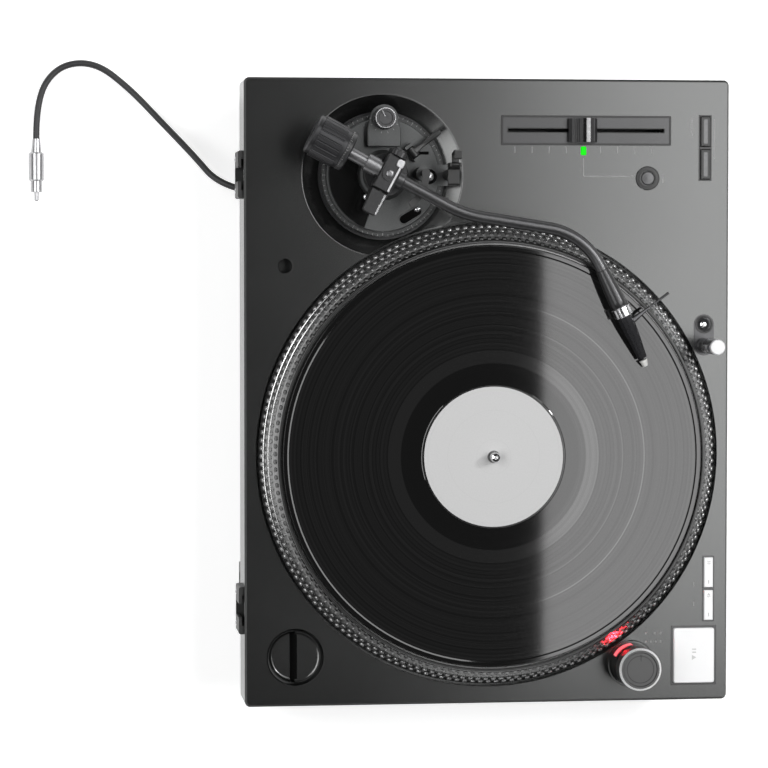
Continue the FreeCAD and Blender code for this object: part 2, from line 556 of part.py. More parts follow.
def platter():
    low, high = ("platterRadius", "platterFoot + platterLip"), ("rimInner + rimLand + 0.6", "rimTop - 0.8")

    def along(part, sunk="0"):
        return (f"({low[0]}) * (1 - {part}) + ({high[0]}) * {part} - {sunk}",
                f"({low[1]}) * (1 - {part}) + ({high[1]}) * {part}")

    rows = int(value("dotRows"))
    side = [("platterRadius", "platterFoot"), low]
    for row in range(1, rows):
        step = row / rows
        side += [along(f"({step} - 0.02)"), along(str(step), "dotGroove"), along(f"({step} + 0.02)")]
    side += [high, ("rimInner + rimLand", "rimTop"), ("rimInner", "rimTop"), ("rimInner", "platterDeck"),
             ("shaftRadius", "platterDeck"), ("shaftRadius", "platterDeck - platterThick - hubDrop"),
             ("hubRadius", "platterDeck - platterThick - hubDrop"), ("hubRadius", "platterDeck - platterThick"),
             ("rimInner - skirtWall", "platterDeck - platterThick"), ("platterRadius - skirtWall", "platterFoot")]
    piece = turned("platter", side, "0", "platterY")
    rib = outline(sketch(piece, "XZ"), [
        ("ribInner", "platterDeck - platterThick + 0.5"), ("ribInner", "platterDeck - platterThick - ribDrop"),
        ("ribOuter", "platterDeck - platterThick - ribDrop"), ("ribOuter + 3", "platterDeck - platterThick + 0.5")])
    rib = pad(piece, rib, "ribThick", SideType="Symmetric")
    around(piece, rib, "ribCount", axis=(rib.Profile[0], ["V_Axis"]))
    return piece


def rotor_magnet():
    top = "platterDeck - platterThick"
    return turned("rotor_magnet", [("magnetInner", f"{top} - magnetTall"), ("magnetOuter", f"{top} - magnetTall"),
                                   ("magnetOuter", top), ("magnetInner", top)], "0", "platterY")


def motor_stator():
    foot = "deckTop - slabThick"
    piece = turned("motor_stator", [
        ("housingRadius", f"{foot} - 3"), ("statorFlange", f"{foot} - 3"), ("statorFlange", foot),
        ("motorOpening - 0.5", foot), ("motorOpening - 0.5", f"{foot} + statorPlate"),
        ("coilRadius", f"{foot} + statorPlate"), ("coilRadius", f"{foot} + statorPlate + coilTall"),
        ("housingRadius", f"{foot} + statorPlate + coilTall")], "0", "platterY")
    gap = box(sketch(piece, lift=f"{foot} + statorPlate + coilTall"), "coilRadius * 0.5", "coilSlot",
              "coilRadius * 0.8", "0")
    around(piece, pocket(piece, gap, "coilTall"), "coilCount")
    return piece


def bearing_housing():
    return turned("bearing_housing", [
        ("0", "housingFoot"), ("housingRadius - 2", "housingFoot"), ("housingRadius", "housingFoot + 2"),
        ("housingRadius", "housingTop"), ("shaftRadius + shaftGap", "housingTop"),
        ("shaftRadius + shaftGap", "spindleFoot - layerGap"), ("0", "spindleFoot - layerGap")], "0", "platterY")


def spindle():
    # a shallow neck parts the free end from the length that the record sits on
    neck = "platterDeck + 2 * layerGap + matThick + recordThick + labelThick + neckRise"
    return turned("spindle", [
        ("0", "spindleFoot"), ("shaftRadius", "spindleFoot"), ("shaftRadius", "platterDeck"),
        ("spindleRadius", "platterDeck"), ("spindleRadius", neck), ("spindleRadius - neckDeep", neck),
        ("spindleRadius - neckDeep", f"{neck} + neckLong"), ("spindleRadius", f"{neck} + neckLong"),
        ("spindleRadius", "spindleTop - spindleNose"),
        ("spindleRadius * 0.8", "spindleTop - spindleNose * 0.4"), ("spindleRadius * 0.4", "spindleTop"),
        ("0", "spindleTop")], "0", "platterY")


matFoot = "platterDeck + layerGap"
recordFoot = "platterDeck + 2 * layerGap + matThick"


def slipmat():
    return turned("slipmat", [("matHole", matFoot), ("matRadius", matFoot), ("matRadius", f"{matFoot} + matThick"),
                              ("matHole", f"{matFoot} + matThick")], "0", "platterY")


def record():
    top = f"{recordFoot} + recordThick"
    return turned("record", [
        ("recordHole", recordFoot), ("recordRadius - recordEdge", recordFoot),
        ("recordRadius", f"{recordFoot} + recordThick / 2"), ("recordRadius - recordEdge", top),
        ("grooveOuter + 1", top), ("grooveOuter", f"{top} - grooveSunk"), ("grooveInner + 0.5", f"{top} - grooveSunk"),
        ("grooveInner", top), ("recordHole", top)], "0", "platterY")


def record_label():
    top = f"{recordFoot} + recordThick"
    return turned("record_label", [("recordHole", top), ("labelRadius", top), ("labelRadius", f"{top} + labelThick"),
                                   ("recordHole", f"{top} + labelThick")], "0", "platterY")


# Tonearm base: threaded bush, height ring, carriage that the ring raises, with rest, lift and side-force dial

def arm_bush():
    top = "deckTop - dishDeep - bushDrop"
    return turned("arm_bush", [
        ("barrelRadius + seatGap", f"{top} - bushDeep"), ("bushOuter", f"{top} - bushDeep"),
        ("bushOuter", f"{top} - bushFlange"), ("dishFloor", f"{top} - bushFlange"), ("dishFloor", top),
        ("barrelRadius + seatGap", top)], "pivotX", "pivotY")


def height_ring():
    foot = "deckTop - dishDeep - 0.5 + runGap"
    piece = turned("height_ring", [
        ("barrelRadius + runGap", foot), ("heightRing", foot), ("heightRing", "heightRingTop - 0.8"),
        ("heightRing - 0.8", "heightRingTop"), ("barrelRadius + runGap", "heightRingTop")], "pivotX", "pivotY")
    notch = circle(sketch(piece, lift="heightRingTop + 1"), "notchRadius", "heightRing + 0.2", "0")
    around(piece, pocket(piece, notch, "5"), "ringNotches")
    return piece


def arm_carriage():
    # this frame is turned to the cue lever, so the rest's tab and the lift's guide lie at an angle to it
    piece = turned("arm_carriage", [
        ("0", "barrelFoot"), ("barrelRadius", "barrelFoot"), ("barrelRadius", "heightRingTop + runGap"),
        ("carriageRadius", "heightRingTop + runGap"), ("carriageRadius", "carriageTop - 0.8"),
        ("carriageRadius - 0.8", "carriageTop"), ("yokeRadius + 3", "carriageTop"),
        ("yokeRadius", "carriageTop + 3"), ("yokeRadius", "pillarTop - 1"), ("yokeRadius - 1", "pillarTop"),
        ("0", "pillarTop")], "pivotX", "pivotY", "0", "leverTurn")
    low = "heightRingTop + runGap"
    near, far, half = "(carriageRadius - 8)", "tabReach", "tabWide / 2"
    corners = [(near, f"(-{half})"), (far, f"(-{half})"), (far, half), (near, half)]
    tab = outline(sketch(piece, lift=low), [
        (f"{x} * cos(leverTurn) + {y} * sin(leverTurn)", f"{y} * cos(leverTurn) - {x} * sin(leverTurn)")
        for x, y in corners])
    pad(piece, tab, f"carriageTop - ({low})")
    post = ("liftRadius * cos(postTurn - leverTurn)", "liftRadius * sin(postTurn - leverTurn)")
    pad(piece, circle(sketch(piece, lift="carriageTop - 1"), "liftBoss", *post), "liftBossTop - carriageTop + 1")
    pocket(piece, circle(sketch(piece, lift="liftBossTop"), "liftPost + shaftGap", *post),
           "liftBossTop - postFoot + 1")
    pocket(piece, circle(sketch(piece, lift="pillarTop"), "yawShaft + shaftGap"), "yawShaftLong + 1")
    for side in (1, -1):
        ear = box(sketch(piece, lift="carriageTop - 1"), "earWide", "earThick", "leverAt",
                  f"{side} * (leverWide / 2 + runGap + earThick / 2)")
        pad(piece, ear, "leverZ + leverEye - carriageTop + 1")
    bore = circle(sketch(piece, "XZ"), "leverPin + shaftGap", "leverAt", "leverZ")
    pocket(piece, bore, "2 * leverWide", SideType="Symmetric")
    return piece


def arm_rest():
    piece = body("arm_rest", "pivotX + restAt", "pivotY", "carriageTop")
    shelf = "armAxis - tubeRadius - tubePlay - carriageTop"
    pad(piece, circle(sketch(piece), "restRadius"), f"{shelf} - restShelf + 1")
    wall = "restTop - carriageTop"
    cradle = outline(sketch(piece, "YZ"), [
        ("-restWide / 2", f"{shelf} - restShelf"), ("restWide / 2", f"{shelf} - restShelf"), ("restWide / 2", wall),
        ("restWide / 2 - restWall", wall), ("restWide / 2 - restWall", f"{shelf} + 2"),
        ("restWide / 2 - restWall - 2", shelf), ("-restWide / 2 + 1.5", shelf), ("-restWide / 2", f"{shelf} - 1.5")])
    pad(piece, cradle, "restLong", SideType="Symmetric")
    slot = box(sketch(piece, "XZ", lift="-restWide / 2 - 1"), "clipWide + 2 * runGap", "5", "0", f"{wall} - 2.5 + 0.01")
    pocket(piece, slot, "restWall + 1.5", Reversed=True)
    bore = circle(sketch(piece, "YZ"), "clipPin + shaftGap", "restWide / 2 - restWall / 2", f"{wall} - 2")
    pocket(piece, bore, "restLong + 2", SideType="Symmetric")
    return piece


def arm_clip():
    # hung on a pin in the wall of the rest, it closes over the tube with room for the tube's play; shown open
    piece = body("arm_clip", "pivotX + restAt", "pivotY + restWide / 2 - restWall / 2", "restTop - 2",
                 "-clipOpen", Vector(1, 0, 0))
    high, span, half = "clipRise", "(restWide - restWall / 2 - 1)", "clipThick / 2"
    hook = outline(sketch(piece, "YZ"), [
        (half, "0"), (half, f"{high} - 1"), (f"{half} - 1", high), (f"1 - {span}", high), (f"-{span}", f"{high} - 1"),
        (f"-{span}", "2"), (f"clipThick - {span}", "1.2"), (f"clipThick - {span}", f"{high} - clipThick"),
        (f"-{half}", f"{high} - clipThick"), (f"-{half}", "0")])
    pad(piece, hook, "clipWide", SideType="Symmetric")
    pad(piece, circle(sketch(piece, "YZ"), "clipEye"), "clipWide", SideType="Symmetric")
    pad(piece, circle(sketch(piece, "YZ"), "clipPin"), "restLong", SideType="Symmetric")
    return piece


def skate_bridge():
    piece = body("skate_bridge", "pivotX", "pivotY", "carriageTop")
    tall = "skateTop - carriageTop"
    pad(piece, box(sketch(piece), "skateWide * 0.6", "carriageRadius - skateFoot - 8", "0",
                   "(carriageRadius + skateFoot + 8) / 2 - 1"), f"{tall} - 2")
    pad(piece, box(sketch(piece, lift=f"{tall} - 3"), "skateWide", "skateReach - skateFoot - 6", "0",
                   "(skateReach + skateFoot + 6) / 2"), "3")
    soften(piece, "Fillet", "3", lambda edge: upright(edge) and edge.BoundBox.YMin > value("skateReach") - 1)
    return piece


def skate_knob():
    piece = turned("skate_knob", [("0", "runGap"), ("skateRadius", "runGap"), ("skateRadius", "2"),
                                  ("skateRadius - 0.6", "2.4"), ("skateRadius - 0.6", "skateTall - 1"),
                                  ("skateRadius - 1.6", "skateTall"), ("skateRadius - 3", "skateTall"),
                                  ("skateRadius - 3.4", "skateTall - 0.6"), ("0", "skateTall - 0.6")],
                   "pivotX", "pivotY + skateY", "skateTop")
    flute = circle(sketch(piece, lift="skateTall + 1"), "0.6", "skateRadius - 0.5", "0")
    around(piece, pocket(piece, flute, "skateTall - 2"), "18")
    return piece


def cue_lift():
    piece = body("cue_lift", "pivotX", "pivotY")
    top = "armAxis - tubeRadius - liftGap"
    arc = sketch(piece, lift=top)
    turn = [math.radians(value(text)) for text in ("liftFrom", "liftTo")]
    for radius in ("liftRadius + liftWide / 2", "liftRadius - liftWide / 2"):
        index = arc.addGeometry(Part.ArcOfCircle(Part.Circle(Vector(), Vector(0, 0, 1), value(radius)), *turn))
        arc.addConstraint(Constraint("Coincident", index, 3, -1, 1))
        rule(arc, "Radius", index, size=radius)
    for end, angle in ((2, "liftTo"), (1, "liftFrom")):
        ends = [arc.getPoint(index, end) for index in (1, 0)]
        line = arc.addGeometry(Part.LineSegment(*ends))
        arc.addConstraint(Constraint("Coincident", line, 1, 1, end))
        arc.addConstraint(Constraint("Coincident", line, 2, 0, end))
        arc.addConstraint(Constraint("PointOnObject", -1, 1, line))
        rule(arc, "Angle", line, size=angle)
    pad(piece, arc, "liftThick", Reversed=True)
    post = circle(sketch(piece, lift="postFoot"), "liftPost", "liftRadius * cos(postTurn)",
                  "liftRadius * sin(postTurn)")
    pad(piece, post, f"{top} - postFoot")
    return piece


def cue_lever():
    piece = body("cue_lever", "pivotX + leverAt * cos(leverTurn)", "pivotY + leverAt * sin(leverTurn)", "leverZ",
                 "leverTurn")
    pad(piece, circle(sketch(piece, "XZ"), "leverEye"), "leverWide", SideType="Symmetric")
    pad(piece, circle(sketch(piece, "XZ"), "leverPin"), "leverWide + 2 * (runGap + earThick)", SideType="Symmetric")
    leaf = outline(sketch(piece, "XZ"), [
        ("0", "0"), ("leverLong * 0.45", "-leverThick / 2"), ("leverLong", "leverThick / 2"),
        ("leverLong", "leverThick * 1.4"), ("leverLong * 0.45", "leverThick / 2"), ("0", "leverEye - 0.2")])
    pad(piece, leaf, "leverWide", SideType="Symmetric")
    for side in (1, -1):
        taper = outline(sketch(piece, lift="leverEye * 2"), [
            ("leverLong * 0.3", f"{side} * leverWide / 2"), ("leverLong * 0.55", f"{side} * leverWide * 0.3"),
            ("leverLong + 1", f"{side} * leverWide * 0.42"), ("leverLong + 1", f"{side} * leverWide")])
        pocket(piece, taper, "leverEye * 4")
    return piece


# Tonearm: yoke, bearing block, S-shaped tube, stub with weight and scale ring, collar and cartridge

def gimbal_yoke():
    foot = "pillarTop + runGap"
    piece = turned("gimbal_yoke", [
        ("0", f"{foot} - runGap - yawShaftLong"), ("yawShaft", f"{foot} - runGap - yawShaftLong"),
        ("yawShaft", foot), ("yokeRadius", foot), ("yokeRadius", f"{foot} + yokeFloor"), ("0", f"{foot} + yokeFloor")],
        "pivotX", "pivotY", "0", "tubeYaw")
    inner = "(blockWide / 2 + yokeGap)"
    pad(piece, box(sketch(piece, lift=foot), "yokeLong", f"2 * ({inner} + yokeCheek)"), "yokeFloor")
    pad(piece, box(sketch(piece, lift=foot), "yokeLong", "yokeCheek", "0", f"{inner} + yokeCheek / 2"),
        f"yokeTop - ({foot})")
    soften(piece, "Fillet", "yokeLong * 0.4", lambda edge: at_height("yokeTop")(edge) and edge.BoundBox.XLength < 1e-3)
    # the longer cheek tapers to its end and carries a ridge
    wing = outline(sketch(piece, lift=foot), [
        ("yokeLong / 2", f"-{inner}"), ("-yokeLong / 2", f"-{inner}"), ("-yokeTip / 2", "-yokeReach"),
        ("yokeTip / 2", "-yokeReach")])
    pad(piece, wing, f"yokeTop - ridgeTall - ({foot})")
    ridge = box(sketch(piece, lift="yokeTop - ridgeTall"), "ridgeWide", f"yokeReach - {inner}", "0",
                f"-(yokeReach + {inner}) / 2")
    pad(piece, ridge, "ridgeTall")
    for side in (1, -1):
        start = f"{-side} * ({inner} + yokeCheek + 1.2)"
        for radius, long in (("pinHead", "1.2"), ("pinRadius", "1.2 + yokeCheek + pinLong")):
            pad(piece, circle(sketch(piece, "XZ", lift=start), radius, "0", "armAxis"), long, Reversed=side < 0)
    return piece


def arm_block():
    piece = body("arm_block", "pivotX", "pivotY", "armAxis", "tubeYaw")
    pad(piece, box(sketch(piece, lift="-blockTall / 2"), "blockLong", "blockWide"), "blockTall")
    soften(piece, "Fillet", "blockRound", upright)
    soften(piece, "Chamfer", "blockRound / 2", at_height("blockTall / 2"))
    for side in (1, -1):
        cup = circle(sketch(piece, "XZ", lift=f"{-side} * blockWide / 2"), "pinRadius + 2 * shaftGap")
        pocket(piece, cup, "pinLong", Reversed=side > 0)
    pad(piece, circle(sketch(piece, lift="blockTall / 2"), "blockTall * 0.4"), "1")
    return piece


def arm_tube():
    piece = body("arm_tube", "pivotX", "pivotY", "armAxis", "tubeYaw")
    path = sketch(piece)
    start = Vector(value("blockLong / 2"), 0, 0)
    heading = 0
    end = "(runC - 1.5 - sleeveLong)"
    cutA, cutB = "roundA * tan(bendA / 2)", "roundB * tan(bendB / 2)"
    steps = [("line", f"runA - blockLong / 2 - {cutA}"), ("arc", "bendA", "roundA", 1),
             ("line", f"runB - {cutA} - {cutB}"), ("arc", "bendB", "roundB", -1), ("line", f"{end} - {cutB}")]
    for i, step in enumerate(steps):
        ahead = Vector(math.cos(heading), math.sin(heading), 0)
        if step[0] == "line":
            stop = start + ahead * value(step[1])
            path.addGeometry(Part.LineSegment(start, stop))
            start = stop
            continue
        turn, radius, side = math.radians(value(step[1])), value(step[2]), step[3]
        centre = start + Vector(-ahead.y, ahead.x, 0) * radius * side
        out = Part.Circle(centre, Vector(0, 0, 1), radius)
        first = heading - side * math.pi / 2
        span = (first, first + turn) if side > 0 else (first - turn, first)
        path.addGeometry(Part.ArcOfCircle(out, *span))
        heading += side * turn
        start = centre + Vector(math.cos(first + side * turn), math.sin(first + side * turn), 0) * radius
    joins = ((0, 2, 1, 1), (1, 2, 2, 1), (2, 2, 3, 2), (3, 1, 4, 1))
    for join in joins:
        path.addConstraint(Constraint("Tangent", *join))
    path.addConstraint(Constraint("Horizontal", 0))
    pin(path, 0, 1, "blockLong / 2", "0")
    for index, text in ((0, steps[0][1]), (2, steps[2][1]), (4, steps[4][1])):
        rule(path, "Distance", index, size=text)
    rule(path, "Radius", 1, size="roundA")
    rule(path, "Radius", 3, size="roundB")
    rule(path, "Angle", 2, size="bendA")
    rule(path, "Angle", 4, size="bendA - bendB")
    doc.recompute()
    profile = circle(sketch(piece, "YZ", lift="blockLong / 2"), "tubeRadius")
    pipe = piece.newObject("PartDesign::AdditivePipe", "tube_pipe")
    pipe.Profile = profile
    pipe.Spine = (path, [f"Edge{i + 1}" for i in range(5)])
    doc.recompute()
    root = outline(sketch(piece, "XZ"), [
        ("blockLong / 2", "0"), ("blockLong / 2 + rootLong", "0"), ("blockLong / 2 + rootLong", "rootRing - 0.6"),
        ("blockLong / 2 + rootLong - 0.6", "rootRing"), ("blockLong / 2", "rootRing")])
    spin(piece, root, "H")
    return piece


def connector_sleeve():
    start, end = "(runC - 1.5 - sleeveLong)", "(runC - 1.5)"
    return turned("connector_sleeve", [
        (start, "0"), (start, "tubeRadius + 0.5"), (f"{start} + 2.5", "sleeveRadius"), (end, "sleeveRadius"),
        (end, "0")], armX, armY, "armAxis", headTurn, "H")


def locking_collar():
    low, high = "(runC - collarLong / 2)", "(runC + collarLong / 2)"
    piece = turned("locking_collar", [
        (low, "sleeveRadius + shaftGap"), (low, "collarRadius - 0.6"), (f"{low} + 0.6", "collarRadius"),
        (f"{high} - 0.6", "collarRadius"), (high, "collarRadius - 0.6"), (high, "sleeveRadius + shaftGap")],
        armX, armY, "armAxis", headTurn, "H")
    flute = circle(sketch(piece, "YZ", lift=f"{high} - 1"), "0.45", "collarRadius + 0.1", "0")
    around(piece, pocket(piece, flute, "collarLong - 2"), "20")
    return piece


def cartridge():
    piece = body("cartridge", armX, armY, "armAxis", headTurn)
    tail = "(runC - 1.3)"
    pad(piece, circle(sketch(piece, "YZ", lift=tail), "shellTail"), "5.8")
    start = f"{tail} + 5.8"
    sections = []
    for part, radius, drop in (("0", "shellTail", "0"), ("0.3", "shellBack", "tipDrop * 0.05"),
                               ("0.7", "shellMid", "tipDrop * 0.27"), ("1", "shellNose", "shellDrop")):
        sections.append(circle(sketch(piece, "YZ", lift=f"{start} + shellLong * {part}"), radius, "0", f"-{drop}"))
    loft = piece.newObject("PartDesign::AdditiveLoft", "shell")
    loft.Profile = sections[0]
    loft.Sections = sections[1:]
    doc.recompute()
    return piece


def stylus():
    piece = body("stylus", armX, armY, "armAxis", headTurn)
    start = "(runC + 4.5 + shellLong)"
    first = circle(sketch(piece, "YZ", lift=start), "shellNose - 0.3", "0", "-shellDrop - 0.2")
    last = circle(sketch(piece, "YZ", lift=f"{start} + stylusLong"), "stylusNose", "0", "-shellDrop - 3")
    loft = piece.newObject("PartDesign::AdditiveLoft", "nose")
    loft.Profile = first
    loft.Sections = [last]
    doc.recompute()
    needle = circle(sketch(piece, lift="-tipDrop"), "tipRadius", f"{start} + stylusLong - 0.8", "0")
    pad(piece, needle, "tipDrop - shellDrop - 3")
    return piece


def finger_lift():
    piece = body("finger_lift", armX, armY, "armAxis", headTurn)
    at, out = "(runC + 9)", "shellBack - 0.3"
    x, y = value(at), value(out)
    reach, turn, radius, far = value("liftReach"), math.radians(value("liftBend")), value("liftRound"), value("liftLong")
    path = sketch(piece)
    path.addGeometry(Part.LineSegment(Vector(x, y, 0), Vector(x, y + reach, 0)))
    centre = Vector(x - radius, y + reach, 0)
    path.addGeometry(Part.ArcOfCircle(Part.Circle(centre, Vector(0, 0, 1), radius), 0, turn))
    bend = centre + Vector(math.cos(turn), math.sin(turn), 0) * radius
    path.addGeometry(Part.LineSegment(bend, bend + Vector(-math.sin(turn), math.cos(turn), 0) * far))
    path.addConstraint(Constraint("Vertical", 0))
    path.addConstraint(Constraint("Tangent", 0, 2, 1, 1))
    path.addConstraint(Constraint("Tangent", 1, 2, 2, 1))
    pin(path, 0, 1, at, out)
    rule(path, "Distance", 0, size="liftReach")
    rule(path, "Distance", 2, size="liftLong")
    rule(path, "Radius", 1, size="liftRound")
    rule(path, "Angle", 2, size="90 + liftBend")
    doc.recompute()
    profile = circle(sketch(piece, "XZ", lift=f"-({out})"), "liftRod", at, "0")
    pipe = piece.newObject("PartDesign::AdditivePipe", "rod")
    pipe.Profile = profile
    pipe.Spine = (path, ["Edge1", "Edge2", "Edge3"])
    doc.recompute()
    return piece


def rear_stub():
    face = "-blockLong / 2"
    return turned("rear_stub", [
        (face, "0"), (face, "stubRadius + 1"), (f"{face} - 2", "stubRadius + 1"), (f"{face} - 2", "dampRadius"),
        (f"{face} - 2 - dampLong", "dampRadius"), (f"{face} - 2 - dampLong", "stubRadius"),
        ("0.8 - stubLong", "stubRadius"), ("-stubLong", "stubRadius - 0.8"), ("-stubLong", "0")],
        "pivotX", "pivotY", "armAxis", "tubeYaw", "H")


def counterweight():
    front, back = "(-weightAt)", "(-weightAt - weightLong)"
    bore = "stubRadius + shaftGap"
    piece = turned("counterweight", [
        (f"{front} + ringLong + runGap", bore), (f"{front} + ringLong + runGap", "bossRadius"), (front, "bossRadius"),
        (front, "weightRadius - weightStep"), (f"{front} - 3", "weightRadius - weightStep"),
        (f"{front} - 3", "weightRadius"), (f"{back} + 4", "weightRadius"), (f"{back} + 4", "weightRadius - weightStep"),
        (f"{back} + 1", "weightRadius - weightStep"), (back, "weightRadius - weightStep - 1"), (back, bore)],
        "pivotX", "pivotY", "armAxis", "tubeYaw", "H")
    grip = circle(sketch(piece, "YZ", lift=f"{front} - 2.8"), "0.8", "weightRadius + 0.3", "0")
    around(piece, pocket(piece, grip, "weightLong - 6.6"), "24")
    return piece


def scale_ring():
    low, high = "(-weightAt + runGap)", "(-weightAt + ringLong)"
    return turned("scale_ring", [
        (low, "bossRadius + shaftGap"), (low, "ringRadius"), (f"{high} - 1", "ringRadius"), (high, "ringRadius - 1.5"),
        (high, "bossRadius + shaftGap")], "pivotX", "pivotY", "armAxis", "tubeYaw", "H")


# Rear: sockets for the lid's hinges, mains inlet, terminals, and the signal lead with its plug

def hinge_socket(label, side):
    piece = body(label, "-cabinetDeep / 2 - socketProud", f"{side} * socketY", "socketFoot")
    pad(piece, box(sketch(piece), "socketDeep", "socketLong", "socketDeep / 2", "0"), "socketTall")
    soften(piece, "Fillet", "1.5", lambda edge: upright(edge) and edge.BoundBox.XMax < 0.1)
    slot = box(sketch(piece, lift="socketTall"), "socketSlot", "slotSpan", "socketDeep / 2 - 0.5", "0")
    pocket(piece, slot, "socketTall - 4")
    mouth = box(sketch(piece, lift="socketTall"), "socketDeep / 2 - 0.5", "slotMouth", "(socketDeep / 2 - 0.5) / 2", "0")
    pocket(piece, mouth, "socketTall - 4")
    return piece


def mains_inlet():
    piece = body("mains_inlet", "-cabinetDeep / 2 + baseInset", "inletY", "inletZ")
    pad(piece, box(sketch(piece, "YZ"), "inletWide - 2 * seatGap", "inletTall - 2 * seatGap"), "inletDeep")
    flange = box(sketch(piece, "YZ"), "inletWide + 2 * inletLip", "inletTall + 2")
    pad(piece, flange, "inletFlange", Reversed=True)
    soften(piece, "Fillet", "2", lambda edge: edge.BoundBox.XMax < 0.01 and abs(edge.BoundBox.XLength) > 1.5)
    mouth = box(sketch(piece, "YZ", lift="-inletFlange"), "inletWide - 8", "inletTall - 8")
    pocket(piece, mouth, "inletDeep - 2", Reversed=True)
    for step in (-1, 0, 1):
        blade = circle(sketch(piece, "YZ", lift="inletDeep - 3"), "bladeRadius", f"{step} * bladeApart",
                       f"(1 - {abs(step)}) * 3 - 1.5")
        pad(piece, blade, "bladeLong", Reversed=True)
    return piece


def terminal_plate():
    piece = body("terminal_plate", "-cabinetDeep / 2 + baseInset + bayDeep", "0", "0")
    pad(piece, box(sketch(piece, "YZ"), "bayLong - 1", "bayTop - baseFloor - 2", "bayY", "(bayTop + baseFloor) / 2"),
        "terminalThick", Reversed=True)
    pad(piece, circle(sketch(piece, "YZ", lift="-terminalThick"), "groundRadius", "groundY", "glandZ"), "groundLong",
        Reversed=True)
    return piece


def ground_nut():
    start = "-cabinetDeep / 2 + baseInset + bayDeep - terminalThick - 1.5"
    piece = turned("ground_nut", [
        ("0", "groundRadius + shaftGap"), ("0", "nutRadius - 0.5"), ("-0.5", "nutRadius"), ("0.5 - nutLong", "nutRadius"),
        ("-nutLong", "nutRadius - 0.5"), ("-nutLong", "groundRadius + shaftGap")], start, "groundY", "glandZ", "0", "H")
    flute = circle(sketch(piece, "YZ"), "0.5", "nutRadius + 0.1", "0")
    around(piece, pocket(piece, flute, "nutLong"), "14")
    return piece


def lead_gland():
    start = "-cabinetDeep / 2 + baseInset + bayDeep - terminalThick"
    return turned("lead_gland", [
        ("0", "0"), ("0", "glandFlange"), ("-1.5", "glandFlange"), ("-2.5", "glandRadius"),
        ("-glandLong", "cordRadius + 1"), ("-glandLong", "0")], start, "glandY", "glandZ", "0", "H")


def lead_route():
    # the lead leaves the bay, drops to the floor and bends round to its plug
    start = value("-cabinetDeep / 2 + baseInset + bayDeep - terminalThick - glandLong")
    points = [(start, value("glandY"), value("glandZ")), (-190, 150, 36), (-208, 172, 25), (-230, 196, 10),
              (-253, 221, 2.4), (-279, 241, 2.4), (-306, 238, 2.4), (value("plugX"), value("plugY") + 30, value("plugZ")),
              (value("plugX"), value("plugY"), value("plugZ"))]
    return [Vector(*point) for point in points]


def signal_lead():
    points = lead_route()
    radius = value("cordRadius")
    runs = [(b - a) for a, b in zip(points, points[1:])]
    path, start, rounds = [], points[0], []
    for before, after, corner in zip(runs, runs[1:], points[1:]):
        turn = before.getAngle(after)
        reach = 0.45 * min(before.Length, after.Length)
        enter = corner - Vector(before).normalize() * reach
        leave = corner + Vector(after).normalize() * reach
        bend = reach / math.tan(turn / 2)
        inward = (Vector(after).normalize() - Vector(before).normalize()).normalize()
        middle = corner + inward * (bend / math.cos(turn / 2) - bend)
        path += [Part.LineSegment(start, enter).toShape(), Part.Arc(enter, middle, leave).toShape()]
        rounds.append(round(bend, 1))
        start = leave
    path.append(Part.LineSegment(start, points[-1]).toShape())
    wire = Part.Wire(path)
    ring = Part.Wire(Part.Circle(points[0], runs[0], radius).toShape())
    lead = doc.addObject("Part::Feature", "signal_lead")
    lead.Label = "signal_lead"
    lead.Shape = wire.makePipeShell([ring], True, False)
    lead.Placement = Placement(Vector(value("socketProud / 2"), 0, 0), Rotation())
    print("lead radii", rounds, "length", round(wire.Length, 1))
    print("lead volume", round(lead.Shape.Volume, 1), "section by length", round(math.pi * radius ** 2 * wire.Length, 1))
    pieces.append(lead)
    return lead


def lead_plug():
    a, b = "plugTailLong", "(plugTailLong + plugLong)"
    return turned("lead_plug", [
        ("0", "0"), ("0", "cordRadius + 0.4"), (a, "plugTail + 0.6"), (a, "plugRadius - 0.8"), (f"{a} + 1", "plugRadius"),
        (f"{b} - 1", "plugRadius"), (b, "plugRadius - 0.8"), (b, "plugShell"), (f"{b} + plugShellLong", "plugShell"),
        (f"{b} + plugShellLong", "plugShell - 0.7"), (f"{b} + 1", "plugShell - 0.7"), (f"{b} + 1", "plugPin"),
        (f"{b} + plugPinLong - 1", "plugPin"), (f"{b} + plugPinLong", "plugPin - 0.8"), (f"{b} + plugPinLong", "0")],
        "plugX", "plugY", "plugZ", "-90", "H")


cabinet_top()
base_mould()
for place, side, end in (("front_right", 1, 1), ("front_left", 1, -1), ("rear_right", -1, 1), ("rear_left", -1, -1)):
    foot(f"foot_{place}", side, end)
start_bezel()
start_button()
twin_bezel("speed_bezel", "speed")
twin_button("speed_33_button", "speed", 1)
twin_button("speed_45_button", "speed", -1)
twin_bezel("range_bezel", "range")
twin_button("range_wide_button", "range", 1)
twin_button("range_narrow_button", "range", -1)
fader_panel()
fader_body()
fader_cap()
reset_button()
lamp_panel()
lamp_release()
target_lamp()
strobe_tower()
strobe_window()
power_knob()
platter()
rotor_magnet()
motor_stator()
bearing_housing()
spindle()
slipmat()
record()
record_label()
arm_bush()
height_ring()
arm_carriage()
arm_rest()
arm_clip()
skate_bridge()
skate_knob()
cue_lift()
cue_lever()
gimbal_yoke()
arm_block()
arm_tube()
connector_sleeve()
locking_collar()
cartridge()
stylus()
finger_lift()
rear_stub()
counterweight()
scale_ring()
hinge_socket("hinge_socket_right", 1)
hinge_socket("hinge_socket_left", -1)
mains_inlet()
terminal_plate()
ground_nut()
lead_gland()
signal_lead()
lead_plug()

